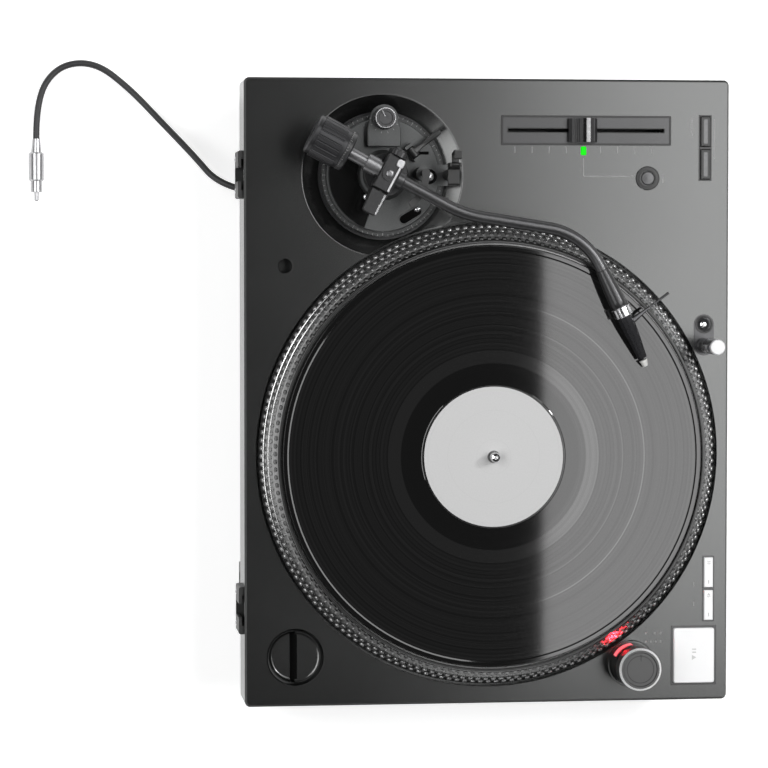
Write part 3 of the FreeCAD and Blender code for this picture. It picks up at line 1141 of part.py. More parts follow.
doc.recompute()
for item in doc.Objects:
    if {"Invalid", "Error"} & set(item.State):
        raise ValueError(f"{item.Name} failed: {item.State}")
for piece in pieces:
    if piece.Shape.isNull() or not piece.Shape.isValid() or len(piece.Shape.Solids) != 1:
        raise ValueError(f"{piece.Label} is not one valid solid")
for piece in pieces:
    piece.Shape.exportStep(f"parts/{piece.Label}.step")
print(len(pieces), "pieces")
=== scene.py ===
import math

import bmesh
import bpy
from mathutils import Matrix, Vector


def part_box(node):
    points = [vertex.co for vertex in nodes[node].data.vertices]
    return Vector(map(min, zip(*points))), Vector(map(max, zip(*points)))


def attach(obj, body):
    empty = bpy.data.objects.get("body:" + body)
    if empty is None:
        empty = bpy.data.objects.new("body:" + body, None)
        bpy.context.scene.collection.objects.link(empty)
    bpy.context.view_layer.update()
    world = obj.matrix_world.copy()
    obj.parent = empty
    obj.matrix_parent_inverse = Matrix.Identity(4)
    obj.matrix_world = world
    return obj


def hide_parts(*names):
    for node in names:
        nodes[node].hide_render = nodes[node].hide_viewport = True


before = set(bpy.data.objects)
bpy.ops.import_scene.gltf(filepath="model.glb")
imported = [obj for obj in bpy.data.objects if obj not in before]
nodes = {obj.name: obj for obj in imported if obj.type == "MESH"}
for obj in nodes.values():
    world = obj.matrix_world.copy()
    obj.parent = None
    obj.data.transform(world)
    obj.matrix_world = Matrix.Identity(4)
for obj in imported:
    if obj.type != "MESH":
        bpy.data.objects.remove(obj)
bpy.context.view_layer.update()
mm = 0.001  # sizes in the dictionaries are millimetres, in the same frame as the solids
print("frame loaded,", len(nodes), "nodes")


# camera: high over the rear edge, turned towards the deck, long side of the deck upright
photoView = {"spot": (-0.333, 0.096, 2.246), "aim": (-0.073, 0.006, 0.09), "across": 0.552, "sensor": 36,
             "clip": (0.05, 60)}


def lookFrom(spot, aim):
    # a placing matrix in metres: stands at spot, looks at aim, long side of the deck upright
    ahead = (Vector(aim) - Vector(spot)).normalized()
    right = ahead.cross(Vector((0, 1, 0))).normalized()
    turn = Matrix((right, right.cross(ahead), -ahead)).transposed()
    return Matrix.Translation(Vector(spot)) @ turn.to_4x4()


def placeCamera(plan):
    data = bpy.data.cameras.new("photoCamera")
    camera = bpy.data.objects.new("photoCamera", data)
    bpy.context.collection.objects.link(camera)
    camera.matrix_world = lookFrom(plan["spot"], plan["aim"])
    data.sensor_width = plan["sensor"]
    data.lens = plan["sensor"] * (Vector(plan["aim"]) - Vector(plan["spot"])).length / plan["across"]
    data.clip_start, data.clip_end = plan["clip"]
    bpy.context.scene.camera = camera


placeCamera(photoView)
bpy.context.scene.view_settings.view_transform = "Standard"
print("camera placed")


# shader building: sums are written as Python expressions on Wire
class Wire:
    def __init__(self, finish, socket):
        self.finish, self.socket = finish, socket

    def sum(self, operation, *values):
        return self.finish.add("Math", {"operation": operation}, dict(enumerate(values)))

    def __add__(self, other):
        return self.sum("ADD", self, other)

    def __radd__(self, other):
        return self.sum("ADD", other, self)

    def __sub__(self, other):
        return self.sum("SUBTRACT", self, other)

    def __rsub__(self, other):
        return self.sum("SUBTRACT", other, self)

    def __mul__(self, other):
        return self.sum("MULTIPLY", self, other)

    def __rmul__(self, other):
        return self.sum("MULTIPLY", other, self)

    def __truediv__(self, other):
        return self.sum("DIVIDE", self, other)

    def __rtruediv__(self, other):
        return self.sum("DIVIDE", other, self)

    def __pow__(self, other):
        return self.sum("POWER", self, other)

    def __abs__(self):
        return self.sum("ABSOLUTE", self)

    def __gt__(self, other):
        return self.sum("GREATER_THAN", self, other)

    def __lt__(self, other):
        return self.sum("LESS_THAN", self, other)


class Finish:
    # the node tree of one material, or of the world
    def __init__(self, name, owner=None):
        self.owner = owner or bpy.data.materials.new(name)
        self.owner.use_nodes = True
        self.tree = self.owner.node_tree
        self.tree.nodes.clear()

    def add(self, kind, settings=None, sockets=None, take=0):
        node = self.tree.nodes.new(f"ShaderNode{kind}")
        for name, value in (settings or {}).items():
            setattr(node, name, value)
        for name, value in (sockets or {}).items():
            if isinstance(value, Wire):
                self.tree.links.new(value.socket, node.inputs[name])
            else:
                node.inputs[name].default_value = value
        if isinstance(take, (list, tuple)):
            return [Wire(self, node.outputs[name]) for name in take]
        return Wire(self, node.outputs[take]) if len(node.outputs) else node

    def spots(self):
        # where a point of the surface lies at rest, in millimetres
        place = self.add("TexCoord", take="Object")
        return [item * 1000 for item in self.add("SeparateXYZ", {}, {0: place}, take=("X", "Y", "Z"))]

    def around(self, centre):
        # distance from an upright axis, and height
        x, y, z = self.spots()
        return ((x - centre[0]) ** 2 + (y - centre[1]) ** 2) ** 0.5, z

    def grain(self, scale, detail=2.0, rough=0.5):
        place = self.add("TexCoord", take="Object")
        return self.add("TexNoise", {},
                        {"Vector": place, "Scale": scale, "Detail": detail, "Roughness": rough})

    def rings(self, away, scale=3.0, detail=3.0, rough=0.5):
        # noise along one line only: lathe marks, or a record's tracks
        return self.add("TexNoise", {"noise_dimensions": "1D"},
                        {"W": away, "Scale": scale, "Detail": detail, "Roughness": rough})

    def ramp(self, value, low, high):
        return self.add("MapRange", {"clamp": True}, {"Value": value, "From Min": low, "From Max": high})

    def band(self, value, low, high, soft=0.1):
        return self.ramp(value, low - soft, low + soft) * self.ramp(value, high + soft, high - soft)

    def most(self, first, *others):
        for other in others:
            first = self.add("Math", {"operation": "MAXIMUM"}, {0: first, 1: other})
        return first

    def seen(self):
        # rays that show a backdrop: straight ones, and those off gloss or through glass
        rays = ("Is Camera Ray", "Is Glossy Ray", "Is Transmission Ray")
        return self.most(*self.add("LightPath", take=rays))

    def blend(self, mask, one, two):
        return self.add("Mix", {"data_type": "RGBA"}, {0: mask, 6: one, 7: two}, take=2)

    def bump(self, height, depth, strength=1.0):
        return self.add("Bump", {}, {"Height": height, "Distance": depth * mm, "Strength": strength})

    def surface(self, **sockets):
        named = {name.replace("_", " "): value for name, value in sockets.items()}
        self.add("OutputMaterial", {}, {"Surface": self.add("BsdfPrincipled", {}, named)})
        return self.owner


def shade(level, tint=(1, 1, 1)):
    return (level * tint[0], level * tint[1], level * tint[2], 1)


def centreOf(name):
    low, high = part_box(name)
    return ((low.x + high.x) * 500, (low.y + high.y) * 500)


def topOf(name):
    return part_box(name)[1].z * 1000


def finishOf(name):
    return nodes[name].data.materials[0]


def dress(finish, *names):
    for name in names:
        piece = nodes[name]
        piece.data.materials.clear()
        piece.data.materials.append(finish)


pivot = centreOf("arm_bush")
hub = centreOf("platter")
tower = centreOf("power_knob")

# deck and base: slope is where the dish of the tonearm leans inwards; the deck's edges at both ends of its
# length are darkened with painted shade where they turn down
deckPaint = {"dark": 0.067, "light": 0.094, "rough": 0.235, "metal": 0.97, "flake": 1500, "cloud": 9,
             "lean": 0.12, "slope": (57.6, 45.6), "edgeShade": (222.9, 224.0), "edgeShadeFrom": 90}


def makeDeckPaint(plan):
    finish = Finish("deckPaint")
    flake, cloud = finish.grain(plan["flake"], 2, 0.7), finish.grain(plan["cloud"], 3)
    sparkle = finish.ramp(flake, 0.3, 0.72)
    x, y = finish.spots()[:2]
    away, height = finish.around(pivot)
    outer, inner = plan["slope"]
    steep = plan["lean"] * (outer - inner)
    lean = steep * finish.ramp(away, outer, inner) * (x - pivot[0]) / (away + 0.1)
    # painted shade: darkens the deck's edges at both ends of its length, where they turn down
    edgeShade = finish.ramp(abs(y), *plan["edgeShade"]) * (height > plan["edgeShadeFrom"])
    paint = finish.blend(sparkle, shade(plan["dark"], (0.97, 1, 1)), shade(plan["light"], (1, 1, 0.985)))
    return finish.surface(
        Base_Color=finish.blend(edgeShade * 0.75, paint, shade(0.012)),
        Roughness=plan["rough"] + 0.06 * (cloud - 0.5) + 0.1 * (flake - 0.5),
        Metallic=plan["metal"], Normal=finish.bump(flake * 0.007 + lean, 1.0))


def makePlain(name, colour, rough, metal=0.0, grain=700, depth=0.01, spread=0.12, coat=0.0, **more):
    # moulded, sprayed or turned finish with a fine grain and a slow drift in gloss
    finish = Finish(name)
    fine, slow = finish.grain(grain, 3, 0.6), finish.grain(35, 2)
    low, high = shade(1 - spread, colour), shade(1 + spread, colour)
    return finish.surface(
        Base_Color=finish.blend(finish.ramp(fine, 0.3, 0.7), low, high),
        Roughness=rough + 0.1 * (slow - 0.5) + 0.06 * (fine - 0.5),
        Metallic=metal, Coat_Weight=coat, Normal=finish.bump(fine, depth, 0.5), **more)


def makeTurned(name, centre, colour, rough, metal):
    # a face turned on a lathe: fine rings round its own axis
    finish = Finish(name)
    away, height = finish.around(centre)
    rings = finish.rings(away * 1.3)
    dust = finish.grain(900, 2)
    return finish.surface(
        Base_Color=finish.blend(finish.ramp(rings, 0.3, 0.7), shade(0.82, colour), shade(1.15, colour)),
        Roughness=rough + 0.14 * (rings - 0.5) + 0.05 * (dust - 0.5),
        Metallic=metal, Normal=finish.bump(rings, 0.02, 0.5))


def makeLit(name, strength):
    # a milky white cap, brightened by a painted glow in its emission
    finish = Finish(name)
    cloud = finish.grain(60, 2)
    return finish.surface(
        Base_Color=finish.blend(cloud, shade(0.58), shade(0.63)), Roughness=0.36 + 0.08 * (cloud - 0.5),
        Emission_Color=finish.blend(cloud, (0.95, 0.97, 1, 1), shade(1)), Emission_Strength=strength,
        Coat_Weight=0.15)


dress(makeDeckPaint(deckPaint), "cabinet_top", "strobe_tower")
dress(makePlain("baseMould", (0.016, 0.016, 0.017), 0.55, grain=1100, depth=0.03), "base_mould")
dress(makePlain("socketMould", (0.01, 0.01, 0.01), 0.45, grain=900, depth=0.02),
      "hinge_socket_right", "hinge_socket_left", "mains_inlet")
dress(makePlain("footRubber", (0.02, 0.02, 0.02), 0.78, grain=1600, depth=0.05),
      "foot_front_right", "foot_front_left", "foot_rear_right", "foot_rear_left")
dress(makePlain("bezelGloss", (0.02, 0.02, 0.021), 0.22, grain=500, depth=0.004),
      "start_bezel", "speed_bezel")
dress(makePlain("rangeBezel", (0.012, 0.012, 0.012), 0.4, depth=0.005), "range_bezel")
# the white buttons carry a painted glow
dress(makeLit("paintedGlowWhite", 0.2), "start_button", "speed_33_button", "speed_45_button")
dress(makePlain("greyButton", (0.022, 0.022, 0.022), 0.36, 0.4, depth=0.006),
      "range_wide_button", "range_narrow_button")
dress(makePlain("darkButton", (0.075, 0.075, 0.077), 0.33, 0.3, depth=0.006), "reset_button")
dress(makePlain("panelMetal", (0.058, 0.058, 0.059), 0.32, 0.8, grain=1300, depth=0.008), "fader_panel")
dress(makePlain("lampPanelMetal", (0.05, 0.05, 0.052), 0.3, 0.5, depth=0.006), "lamp_panel")
dress(makePlain("capPlastic", (0.018, 0.018, 0.019), 0.36, grain=800), "fader_cap")
dress(makePlain("restPlastic", (0.007, 0.007, 0.007), 0.38, grain=800), "arm_rest", "arm_clip")
dress(makePlain("steelPlate", (0.55, 0.55, 0.56), 0.33, 1.0, grain=600, depth=0.004), "terminal_plate")
dress(makePlain("faderBlack", (0.012, 0.012, 0.013), 0.55, 0.1, grain=600), "fader_body")
dress(makePlain("chromePlate", (0.82, 0.82, 0.83), 0.1, 1.0, grain=300, depth=0.001, spread=0.03),
      "lamp_release", "ground_nut")
dress(makePlain("collarNickel", (0.5, 0.5, 0.51), 0.2, 1.0, grain=300, depth=0.001, spread=0.03),
      "locking_collar")
dress(makePlain("fingerSteel", (0.05, 0.05, 0.052), 0.26, 0.85, grain=300, depth=0.001, spread=0.05),
      "finger_lift")
dress(makeTurned("spindleSteel", hub, (0.75, 0.75, 0.76), 0.12, 1.0), "spindle")
dress(makePlain("magnetIron", (0.09, 0.09, 0.095), 0.6, 0.3, grain=500, depth=0.05), "rotor_magnet")
dress(makePlain("bearingBrass", (0.66, 0.5, 0.25), 0.3, 1.0, depth=0.004), "bearing_housing")
dress(makePlain("cordJacket", (0.02, 0.02, 0.021), 0.5, grain=500, depth=0.02), "lead_gland", "signal_lead")
dress(makePlain("plugShell", (0.42, 0.42, 0.43), 0.3, 0.85, grain=600, depth=0.004), "lead_plug")
dress(makePlain("aluminium", (0.5, 0.5, 0.51), 0.28, 1.0, grain=500, depth=0.004), "target_lamp")
dress(makePlain("stubSatin", (0.2, 0.2, 0.205), 0.36, 0.9, grain=500, depth=0.004), "rear_stub")
print("deck finishes done")


# platter, motor and record
windings = {"copper": (0.5, 0.2, 0.08), "steel": (0.32, 0.32, 0.33), "away": (14, 47), "from": 84.5}
castPlatter = {"flat": (118.85, 119.1), "land": (152.9, 153.2), "lip": (92.2, 93.1), "lipFrom": 165.3,
               "under": 116.4, "underTo": 159.5, "skirtPaintedLight": (116, 96), "skirtPaintedTones": (0.15, 0.85)}
vinyl = {"rough": 0.045, "tracks": (76.5, 146.3), "leadOut": (50.5, 62), "inner": (51.3, 50.9),
         "outer": (149.6, 150.0), "gap": (66.7, 76.0),
         "shiny": ((66.7, 76.0, 0.55), (108.6, 109.5, 1.1), (146.9, 149.6, 0.2), (93.1, 93.7, 0.5))}
label = {"rings": (33.0, 12.2, 47.4), "ringWide": 0.35, "hole": (4.7, 4.3), "low": 0.45, "high": 0.48}


def makeWindings(plan):
    finish = Finish("windings")
    away, height = finish.around(hub)
    turns = finish.add("Math", {"operation": "SINE"}, {0: height * 9})
    mask = finish.band(away, *plan["away"], 0.4) * (height > plan["from"])
    return finish.surface(
        Base_Color=finish.blend(mask, shade(1, plan["steel"]), shade(1, plan["copper"])), Metallic=1.0,
        Roughness=0.34 + 0.06 * turns, Normal=finish.bump(turns * mask, 0.08, 0.6))


def makePlatterMetal(plan):
    # the flat top is dark with a faint land at its edge; the strobe band is painted with light and shade,
    # darker at its top and lighter down to a bright lip
    finish = Finish("platterMetal")
    away, height = finish.around(hub)
    rings = finish.rings(away, 2.5)
    cast = finish.grain(420, 3, 0.6)
    flat = finish.ramp(height, *plan["flat"])
    land = flat * finish.band(away, *plan["land"], 0.12) * 0.08
    lip = finish.band(height, *plan["lip"], 0.12) * (away > plan["lipFrom"])
    under = (height < plan["under"]) * (away < plan["underTo"])
    low, high = plan["skirtPaintedTones"]
    # painted light and shade: the band darker at its top, lighter at its foot
    skirtPaintedLight = finish.blend(finish.ramp(height, *plan["skirtPaintedLight"]), shade(low), shade(high))
    tone = finish.blend(flat, finish.blend(under, skirtPaintedLight, shade(0.3)), shade(0.03))
    return finish.surface(
        Base_Color=finish.blend(finish.most(land, lip), tone, shade(0.8)),
        Roughness=0.23 + 0.1 * flat + 0.3 * under + 0.06 * (rings - 0.5),
        Metallic=0.97, Normal=finish.bump(cast * under + rings * 0.1, 0.06, 0.5))


def makeVinyl(plan):
    finish = Finish("vinyl")
    away, height = finish.around(hub)
    tone = finish.ramp(finish.rings(away * 0.16, 3.0, 6.0, 0.75), 0.36, 0.64)
    fine = finish.rings(away * 1.4, 3.0, 2.0)
    smear = finish.grain(14, 2)
    gloss = 0.3 * tone - 0.25 * finish.band(away, *plan["leadOut"], 0.6)
    for low, high, amount in plan["shiny"]:
        gloss = gloss + amount * finish.band(away, low, high, 0.35)
    groove = finish.band(away, *plan["tracks"], 0.3)
    pale = tone * groove + finish.band(away, *plan["gap"], 0.35)
    edges = finish.ramp(away, *plan["inner"]) + finish.ramp(away, *plan["outer"])
    return finish.surface(
        Base_Color=finish.blend(pale, shade(0.005), shade(0.0115)), Metallic=0.0,
        Roughness=plan["rough"] + 0.12 * edges + 0.03 * (fine - 0.5),
        Coat_Weight=gloss * 0.6 + 0.03 * (smear - 0.5), Coat_Roughness=0.06,
        Normal=finish.bump(fine * groove, 0.0004, 0.3))


def makeLabel(plan):
    finish = Finish("labelPaper")
    away, height = finish.around(hub)
    lines = sum((finish.band(away, low, low + plan["ringWide"], 0.12) for low in plan["rings"]), 0.0)
    paper = finish.grain(900, 3, 0.6)
    base = finish.blend(finish.ramp(paper, 0.3, 0.7), shade(plan["low"]), shade(plan["high"]))
    tone = finish.blend(lines * 0.16, base, shade(0.3))
    return finish.surface(
        Base_Color=finish.blend(finish.ramp(away, *plan["hole"]), tone, shade(0.12)),
        Roughness=0.62, Normal=finish.bump(paper, 0.01, 0.4))


def makeFelt():
    finish = Finish("matFelt")
    fibre = finish.grain(1400, 4, 0.75)
    tone = finish.ramp(fibre * 0.6 + finish.grain(260, 3) * 0.4, 0.3, 0.7)
    return finish.surface(
        Base_Color=finish.blend(tone, shade(0.012), shade(0.035)), Roughness=0.95, Sheen_Weight=0.4,
        Sheen_Roughness=0.5, Normal=finish.bump(fibre, 0.15, 0.8))


dress(makeWindings(windings), "motor_stator")
dress(makePlatterMetal(castPlatter), "platter")
dress(makeVinyl(vinyl), "record")
dress(makeLabel(label), "record_label")
dress(makeFelt(), "slipmat")
print("platter finishes done")


# power knob, its strobe window and the tonearm
knobTop = {"chamfer": (128.1, 128.4), "chamferAway": (13.9, 15.3), "ring": (9.4, 9.9), "ringFrom": 128.6}
window = {"lamps": (100.5, 108.5), "glass": (0.5, 0.02, 0.03, 1), "edge": (0.85, 0.05, 0.07, 1),
          "core": (1.0, 0.24, 0.28, 1)}


def makeKnobTop(plan):
    # dark body, polished chamfer and an engraved ring
    finish = Finish("powerKnobMetal")
    away, height = finish.around(tower)
    chamfer = finish.ramp(height, *plan["chamfer"]) * finish.band(away, *plan["chamferAway"], 0.12)
    ring = finish.band(away, *plan["ring"]) * (height > plan["ringFrom"])
    rings = finish.rings(away * 1.5)
    body = finish.blend(ring * 0.8, shade(0.075), shade(0.012))
    return finish.surface(
        Base_Color=finish.blend(chamfer, body, shade(0.62)), Metallic=0.75,
        Roughness=0.34 - 0.08 * chamfer + 0.08 * (rings - 0.5), Normal=finish.bump(rings, 0.015, 0.5))


def makeWindow(plan):
    # red lens, brightest low down where its lamps sit
    finish = Finish("windowLens")
    away, height = finish.around(tower)
    core = finish.band(height, *plan["lamps"], 2.0)
    return finish.surface(
        Base_Color=plan["glass"], Roughness=0.18 + 0.04 * core, Coat_Weight=0.5,
        Emission_Color=finish.blend(core, plan["edge"], plan["core"]), Emission_Strength=1.0)


dress(makeKnobTop(knobTop), "power_knob")
dress(makeWindow(window), "strobe_window")
dress(makePlain("armTubeSatin", (0.08, 0.08, 0.082), 0.36, 0.85, grain=500, depth=0.003),
      "arm_tube", "connector_sleeve")
dress(makePlain("armBlockSatin", (0.042, 0.042, 0.043), 0.34, 0.7, depth=0.004), "arm_block", "gimbal_yoke")
dress(makeTurned("ringMetal", pivot, (0.05, 0.051, 0.051), 0.33, 0.8), "height_ring")
dress(makeTurned("bushMetal", pivot, (0.03, 0.03, 0.031), 0.36, 0.6), "arm_bush")
dress(makePlain("carriagePaint", (0.075, 0.077, 0.077), 0.36, 0.75, grain=1400, depth=0.006),
      "arm_carriage", "skate_bridge")
dress(makePlain("leverBlack", (0.01, 0.01, 0.01), 0.42, 0.1, grain=600, depth=0.004), "cue_lever")
dress(makePlain("knobMetal", (0.08, 0.08, 0.082), 0.28, 0.75, grain=600, depth=0.004), "skate_knob")
dress(makePlain("liftRubber", (0.014, 0.014, 0.014), 0.5, grain=900, depth=0.02), "cue_lift")
dress(makePlain("weightPaint", (0.034, 0.034, 0.036), 0.38, 0.6, grain=900, depth=0.005), "counterweight")
dress(makePlain("ringPaint", (0.028, 0.028, 0.029), 0.34, 0.2, depth=0.005), "scale_ring")
dress(makePlain("cartridgeShell", (0.022, 0.022, 0.024), 0.2, 0.15, grain=500, depth=0.003, coat=0.4),
      "cartridge")
dress(makePlain("stylusTip", (0.7, 0.7, 0.68), 0.25, grain=400, depth=0.003), "stylus")
print("tonearm finishes done")


# signal lead: its route's points are the ones that the solid follows
lead = {
    "thick": 4.7, "length": 0.228,
    "route": [(-168.5, 146, 38), (-188, 150, 36), (-206, 172, 25), (-228, 196, 10), (-251, 221, 2.4),
              (-277, 241, 2.4), (-304, 238, 2.4), (-320, 214, 5.6), (-320, 184, 5.6)],
}


def makeLead(plan):
    curve = bpy.data.curves.new("signalLead", "CURVE")
    curve.dimensions = "3D"
    spline = curve.splines.new("NURBS")
    spline.points.add(len(plan["route"]) - 1)
    for point, spot in zip(spline.points, plan["route"]):
        point.co = (*[value * mm for value in spot], 1)
    spline.order_u = 3
    spline.use_endpoint_u = True
    curve.resolution_u = 20
    curve.bevel_depth = plan["thick"] / 2 * mm
    curve.bevel_resolution = 8
    curve.use_fill_caps = True
    curve.materials.append(finishOf("lead_gland"))
    piece = bpy.data.objects.new("signalLead", curve)
    bpy.context.collection.objects.link(piece)
    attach(piece, "deck")
    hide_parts("signal_lead")
    return piece


leadPiece = makeLead(lead)
print("lead laid")


# mesh helpers: all take millimetres
def addPiece(name, build, body, finish, angle=35):
    mesh = bpy.data.meshes.new(name)
    shape = bmesh.new()
    build(shape)
    bmesh.ops.remove_doubles(shape, verts=shape.verts, dist=1e-7)
    bmesh.ops.recalc_face_normals(shape, faces=shape.faces)
    shape.to_mesh(mesh)
    shape.free()
    mesh.polygons.foreach_set("use_smooth", [True] * len(mesh.polygons))
    mesh.set_sharp_from_angle(angle=math.radians(angle))
    mesh.materials.append(finish)
    piece = bpy.data.objects.new(name, mesh)
    bpy.context.collection.objects.link(piece)
    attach(piece, body)
    return piece


def spread(low, high, count):
    return [low + (high - low) * i / count for i in range(count + 1)]


def polar(radius, turn, centre=pivot):
    a = math.radians(turn)
    return (centre[0] + radius * math.cos(a), centre[1] + radius * math.sin(a))


def facing(turn):
    # a level direction, for laying a lathe's axis
    return (*polar(1, turn, (0, 0)), 0)


def at(x, y, z, turn=0.0, tilt=None):
    # a placing matrix: a spot, turned about Z, then its Z axis laid along tilt
    place = Matrix.Translation(Vector((x, y, z)) * mm)
    if tilt is not None:
        place = place @ Vector((0, 0, 1)).rotation_difference(Vector(tilt)).to_matrix().to_4x4()
    return place @ Matrix.Rotation(math.radians(turn), 4, "Z")


def put(shape, x, y, z, place=Matrix()):
    return shape.verts.new(place @ (Vector((x, y, z)) * mm))


def joinRings(shape, rings, closed=True):
    # faces between neighbouring rings of points; a ring may be a single point
    for one, two in zip(rings, rings[1:]):
        count = max(len(one), len(two))
        for i in range(count if closed else count - 1):
            j = (i + 1) % count
            near, far = (one[i % len(one)], one[j % len(one)]), (two[j % len(two)], two[i % len(two)])
            corners = dict.fromkeys(near + far)
            if len(corners) > 2:
                shape.faces.new(list(corners))


def closeEnds(shape, rings):
    return [shape.faces.new(rings[-1]), shape.faces.new(list(reversed(rings[0])))]


def lathe(shape, profile, steps=64, place=Matrix()):
    # spins radius and height pairs round the local Z axis
    joinRings(shape, [[put(shape, *polar(radius, 360 * i / steps, (0, 0)), height, place)
                       for i in range(steps if radius > 1e-6 else 1)] for radius, height in profile])


def slab(shape, points, low, high, ease=0.0, place=Matrix()):
    # an upright plate with an eased top edge
    middle = sum((Vector((x, y)) for x, y in points), Vector((0, 0))) / len(points)
    rings = []
    for height, inset in [(low, 0), (high - ease, 0), (high, ease)] if ease else [(low, 0), (high, 0)]:
        ring = []
        for point in points:
            away = Vector(point) - middle
            spot = middle + away * (1 - inset / max(away.length, 1e-6))
            ring.append(put(shape, *spot, height, place))
        rings.append(ring)
    joinRings(shape, rings)
    closeEnds(shape, rings)


def outlineSlab(shape, points, low, high, ease):
    # an upright plate on any closed outline, its top edge eased along the outline's own normals
    rings = []
    for height, inset in ((low, 0), (high - ease, 0), (high, ease)):
        ring = []
        for i, (x, y) in enumerate(points):
            along = (Vector(points[(i + 1) % len(points)]) - Vector(points[i - 1])).normalized()
            ring.append(put(shape, x + along.y * inset, y - along.x * inset, height))
        rings.append(ring)
    joinRings(shape, rings)
    bmesh.ops.triangulate(shape, faces=closeEnds(shape, rings))


def roundedBox(x, y, wide, long, radius, steps=5):
    points = []
    for cx, cy, start in ((1, 1, 0), (-1, 1, 90), (-1, -1, 180), (1, -1, 270)):
        corner = (x + cx * (wide / 2 - radius), y + cy * (long / 2 - radius))
        points += [polar(radius, turn, corner) for turn in spread(start, start + 90, steps)]
    return points


def blade(shape, stations, place, steps=16):
    # a slim lens-shaped bar through its stations: along, height, half width, half thickness
    rings = []
    for along, height, wide, thick in stations:
        ring = []
        for i in range(steps):
            c, d = polar(1, 360 * (i + 0.5) / steps, (0, 0))
            c, d = math.copysign(abs(c) ** 0.6, c), math.copysign(abs(d) ** 0.8, d)
            ring.append(put(shape, along, wide * c, height + thick * d, place))
        rings.append(ring)
    joinRings(shape, rings)
    closeEnds(shape, rings)


# strobe rows: raised polished dots in four counts, so that one row stands still at each speed
strobe = {
    "low": (166.0, 93.0), "high": (154.2, 118.7), "counts": (180, 180, 176, 176), "wide": 3.7, "tall": 5.0,
    "dome": [(1.0, -0.3), (0.94, 0.3), (0.74, 0.585), (0.4, 0.72), (0, 0.75)],
    # the rows' tones are painted light and shade, lighter low down
    "paintedLightTones": (0.1, 0.5), "fade": (116, 96), "rough": 0.27, "metal": 0.85,
}


def buildDots(shape):
    low, high = Vector(strobe["low"]), Vector(strobe["high"])
    slope = (high - low).normalized()
    for row, count in enumerate(strobe["counts"]):
        spot = low + (high - low) * (row + 0.5) / len(strobe["counts"])
        for i in range(count):
            turn = 360 * (i + 0.5 * (row % 2)) / count
            c, s = polar(1, turn, (0, 0))
            aside = Vector((-s, c, 0)) * strobe["wide"] / 2
            up = Vector((slope.x * c, slope.x * s, slope.y)) * strobe["tall"] / 2
            away = Vector((slope.y * c, slope.y * s, -slope.x))
            turned = Matrix((aside, up, away)).transposed().to_4x4()
            lathe(shape, strobe["dome"], 10, at(*polar(spot.x, turn, hub), spot.y) @ turned)


def makeDotMetal(plan):
    # the dots are cast with the band; painted light and shade makes the lower rows brighter than the upper
    # ones
    finish = Finish("dotMetal")
    fade = finish.ramp(finish.spots()[2], *plan["fade"])
    low, high = plan["paintedLightTones"]
    return finish.surface(
        Base_Color=finish.blend(fade, shade(low), shade(high)),
        Roughness=plan["rough"] + 0.06 * (finish.grain(300, 2) - 0.5), Metallic=plan["metal"])


addPiece("strobeDots", buildDots, "platter", makeDotMetal(strobe), 50)
print("strobe rows done")


# printed marks on the deck: ticks beside the fader, leader lines and small dots
prints = {
    "top": 96.03, "deep": 0.05, "ticks": [71 + 12.5 * i for i in (-4, -3, -2, -1, 1, 2, 3, 4)],
    "tick": (174.2, 0.5, 4.8, 0.2), "dot": (1.3, 1.5, 0.3),
    "bars": [(71.0, 161.8, 0.5, 13.0), (89.5, 155.4, 37.0, 0.5), (129.2, 154.0, 0.6, 6.5),
             (150.6, 191.0, 0.55, 13.0), (167.3, 182.5, 0.55, 29.0), (153.4, -140.6, 0.5, 3.2),
             (153.4, -154.8, 0.5, 3.2)],
    "dots": [(118.0, -176.0), (124.6, -176.0), (129.0, -176.0), (118.0, -182.2), (121.6, -182.2),
             (125.3, -182.2), (129.0, -182.2)],
}
faintInk = makePlain("faintInk", (0.23, 0.23, 0.23), 0.5, grain=1500, depth=0.002)


def buildPrints(shape):
    outlines = [roundedBox(x, *prints["tick"]) for x in prints["ticks"]]
    outlines += [roundedBox(x, y, wide, long, min(wide, long) * 0.45) for x, y, wide, long in prints["bars"]]
    outlines += [roundedBox(x, y, *prints["dot"]) for x, y in prints["dots"]]
    for outline in outlines:
        slab(shape, outline, prints["top"] - prints["deep"], prints["top"])


addPiece("deckPrints", buildPrints, "deck", faintInk)


# pitch lamp and trim of the fader cap
pitchLamp = {"box": (71.0, 173.6, 4.0, 6.2, 0.8), "heights": (95.5, 96.6), "ease": 0.5,
             "lit": (0.0, 0.95, 0.0), "dim": 0.8, "unlit": 0.1}
capTrim = {"x": 70.0, "y": 188.2, "foot": 96.5,
           "ridge": [(-0.6, 6.95), (1.2, 9.98), (4.15, 9.98), (4.7, 9.6)], "ridgeHalf": 8.62,
           "ridgeLift": (-1.2, 0.22), "line": (0.9, 16.4, 0.3), "lineAt": (7.2, 8.07), "lineSlope": 31.4}


def makeGreenGlow(plan):
    finish = Finish("greenGlow")
    cloud = finish.grain(300, 2)
    return finish.surface(
        Base_Color=shade(plan["unlit"], plan["lit"]), Roughness=0.5 + 0.05 * cloud, Specular_IOR_Level=0.15,
        Emission_Color=finish.blend(cloud, shade(plan["dim"], plan["lit"]), shade(1, plan["lit"])),
        Emission_Strength=1.0)


def buildPitchLamp(shape):
    slab(shape, roundedBox(*pitchLamp["box"]), *pitchLamp["heights"], pitchLamp["ease"])


def buildRidge(shape):
    # a bright strip wrapped over the cap's ridge
    half, (low, high) = capTrim["ridgeHalf"], capTrim["ridgeLift"]
    rings = [[put(shape, capTrim["x"] + a, capTrim["y"] + aside, capTrim["foot"] + b + lift)
              for aside, lift in ((-half, low), (-half, high), (half, high), (half, low))]
             for a, b in capTrim["ridge"]]
    joinRings(shape, rings)
    closeEnds(shape, rings)


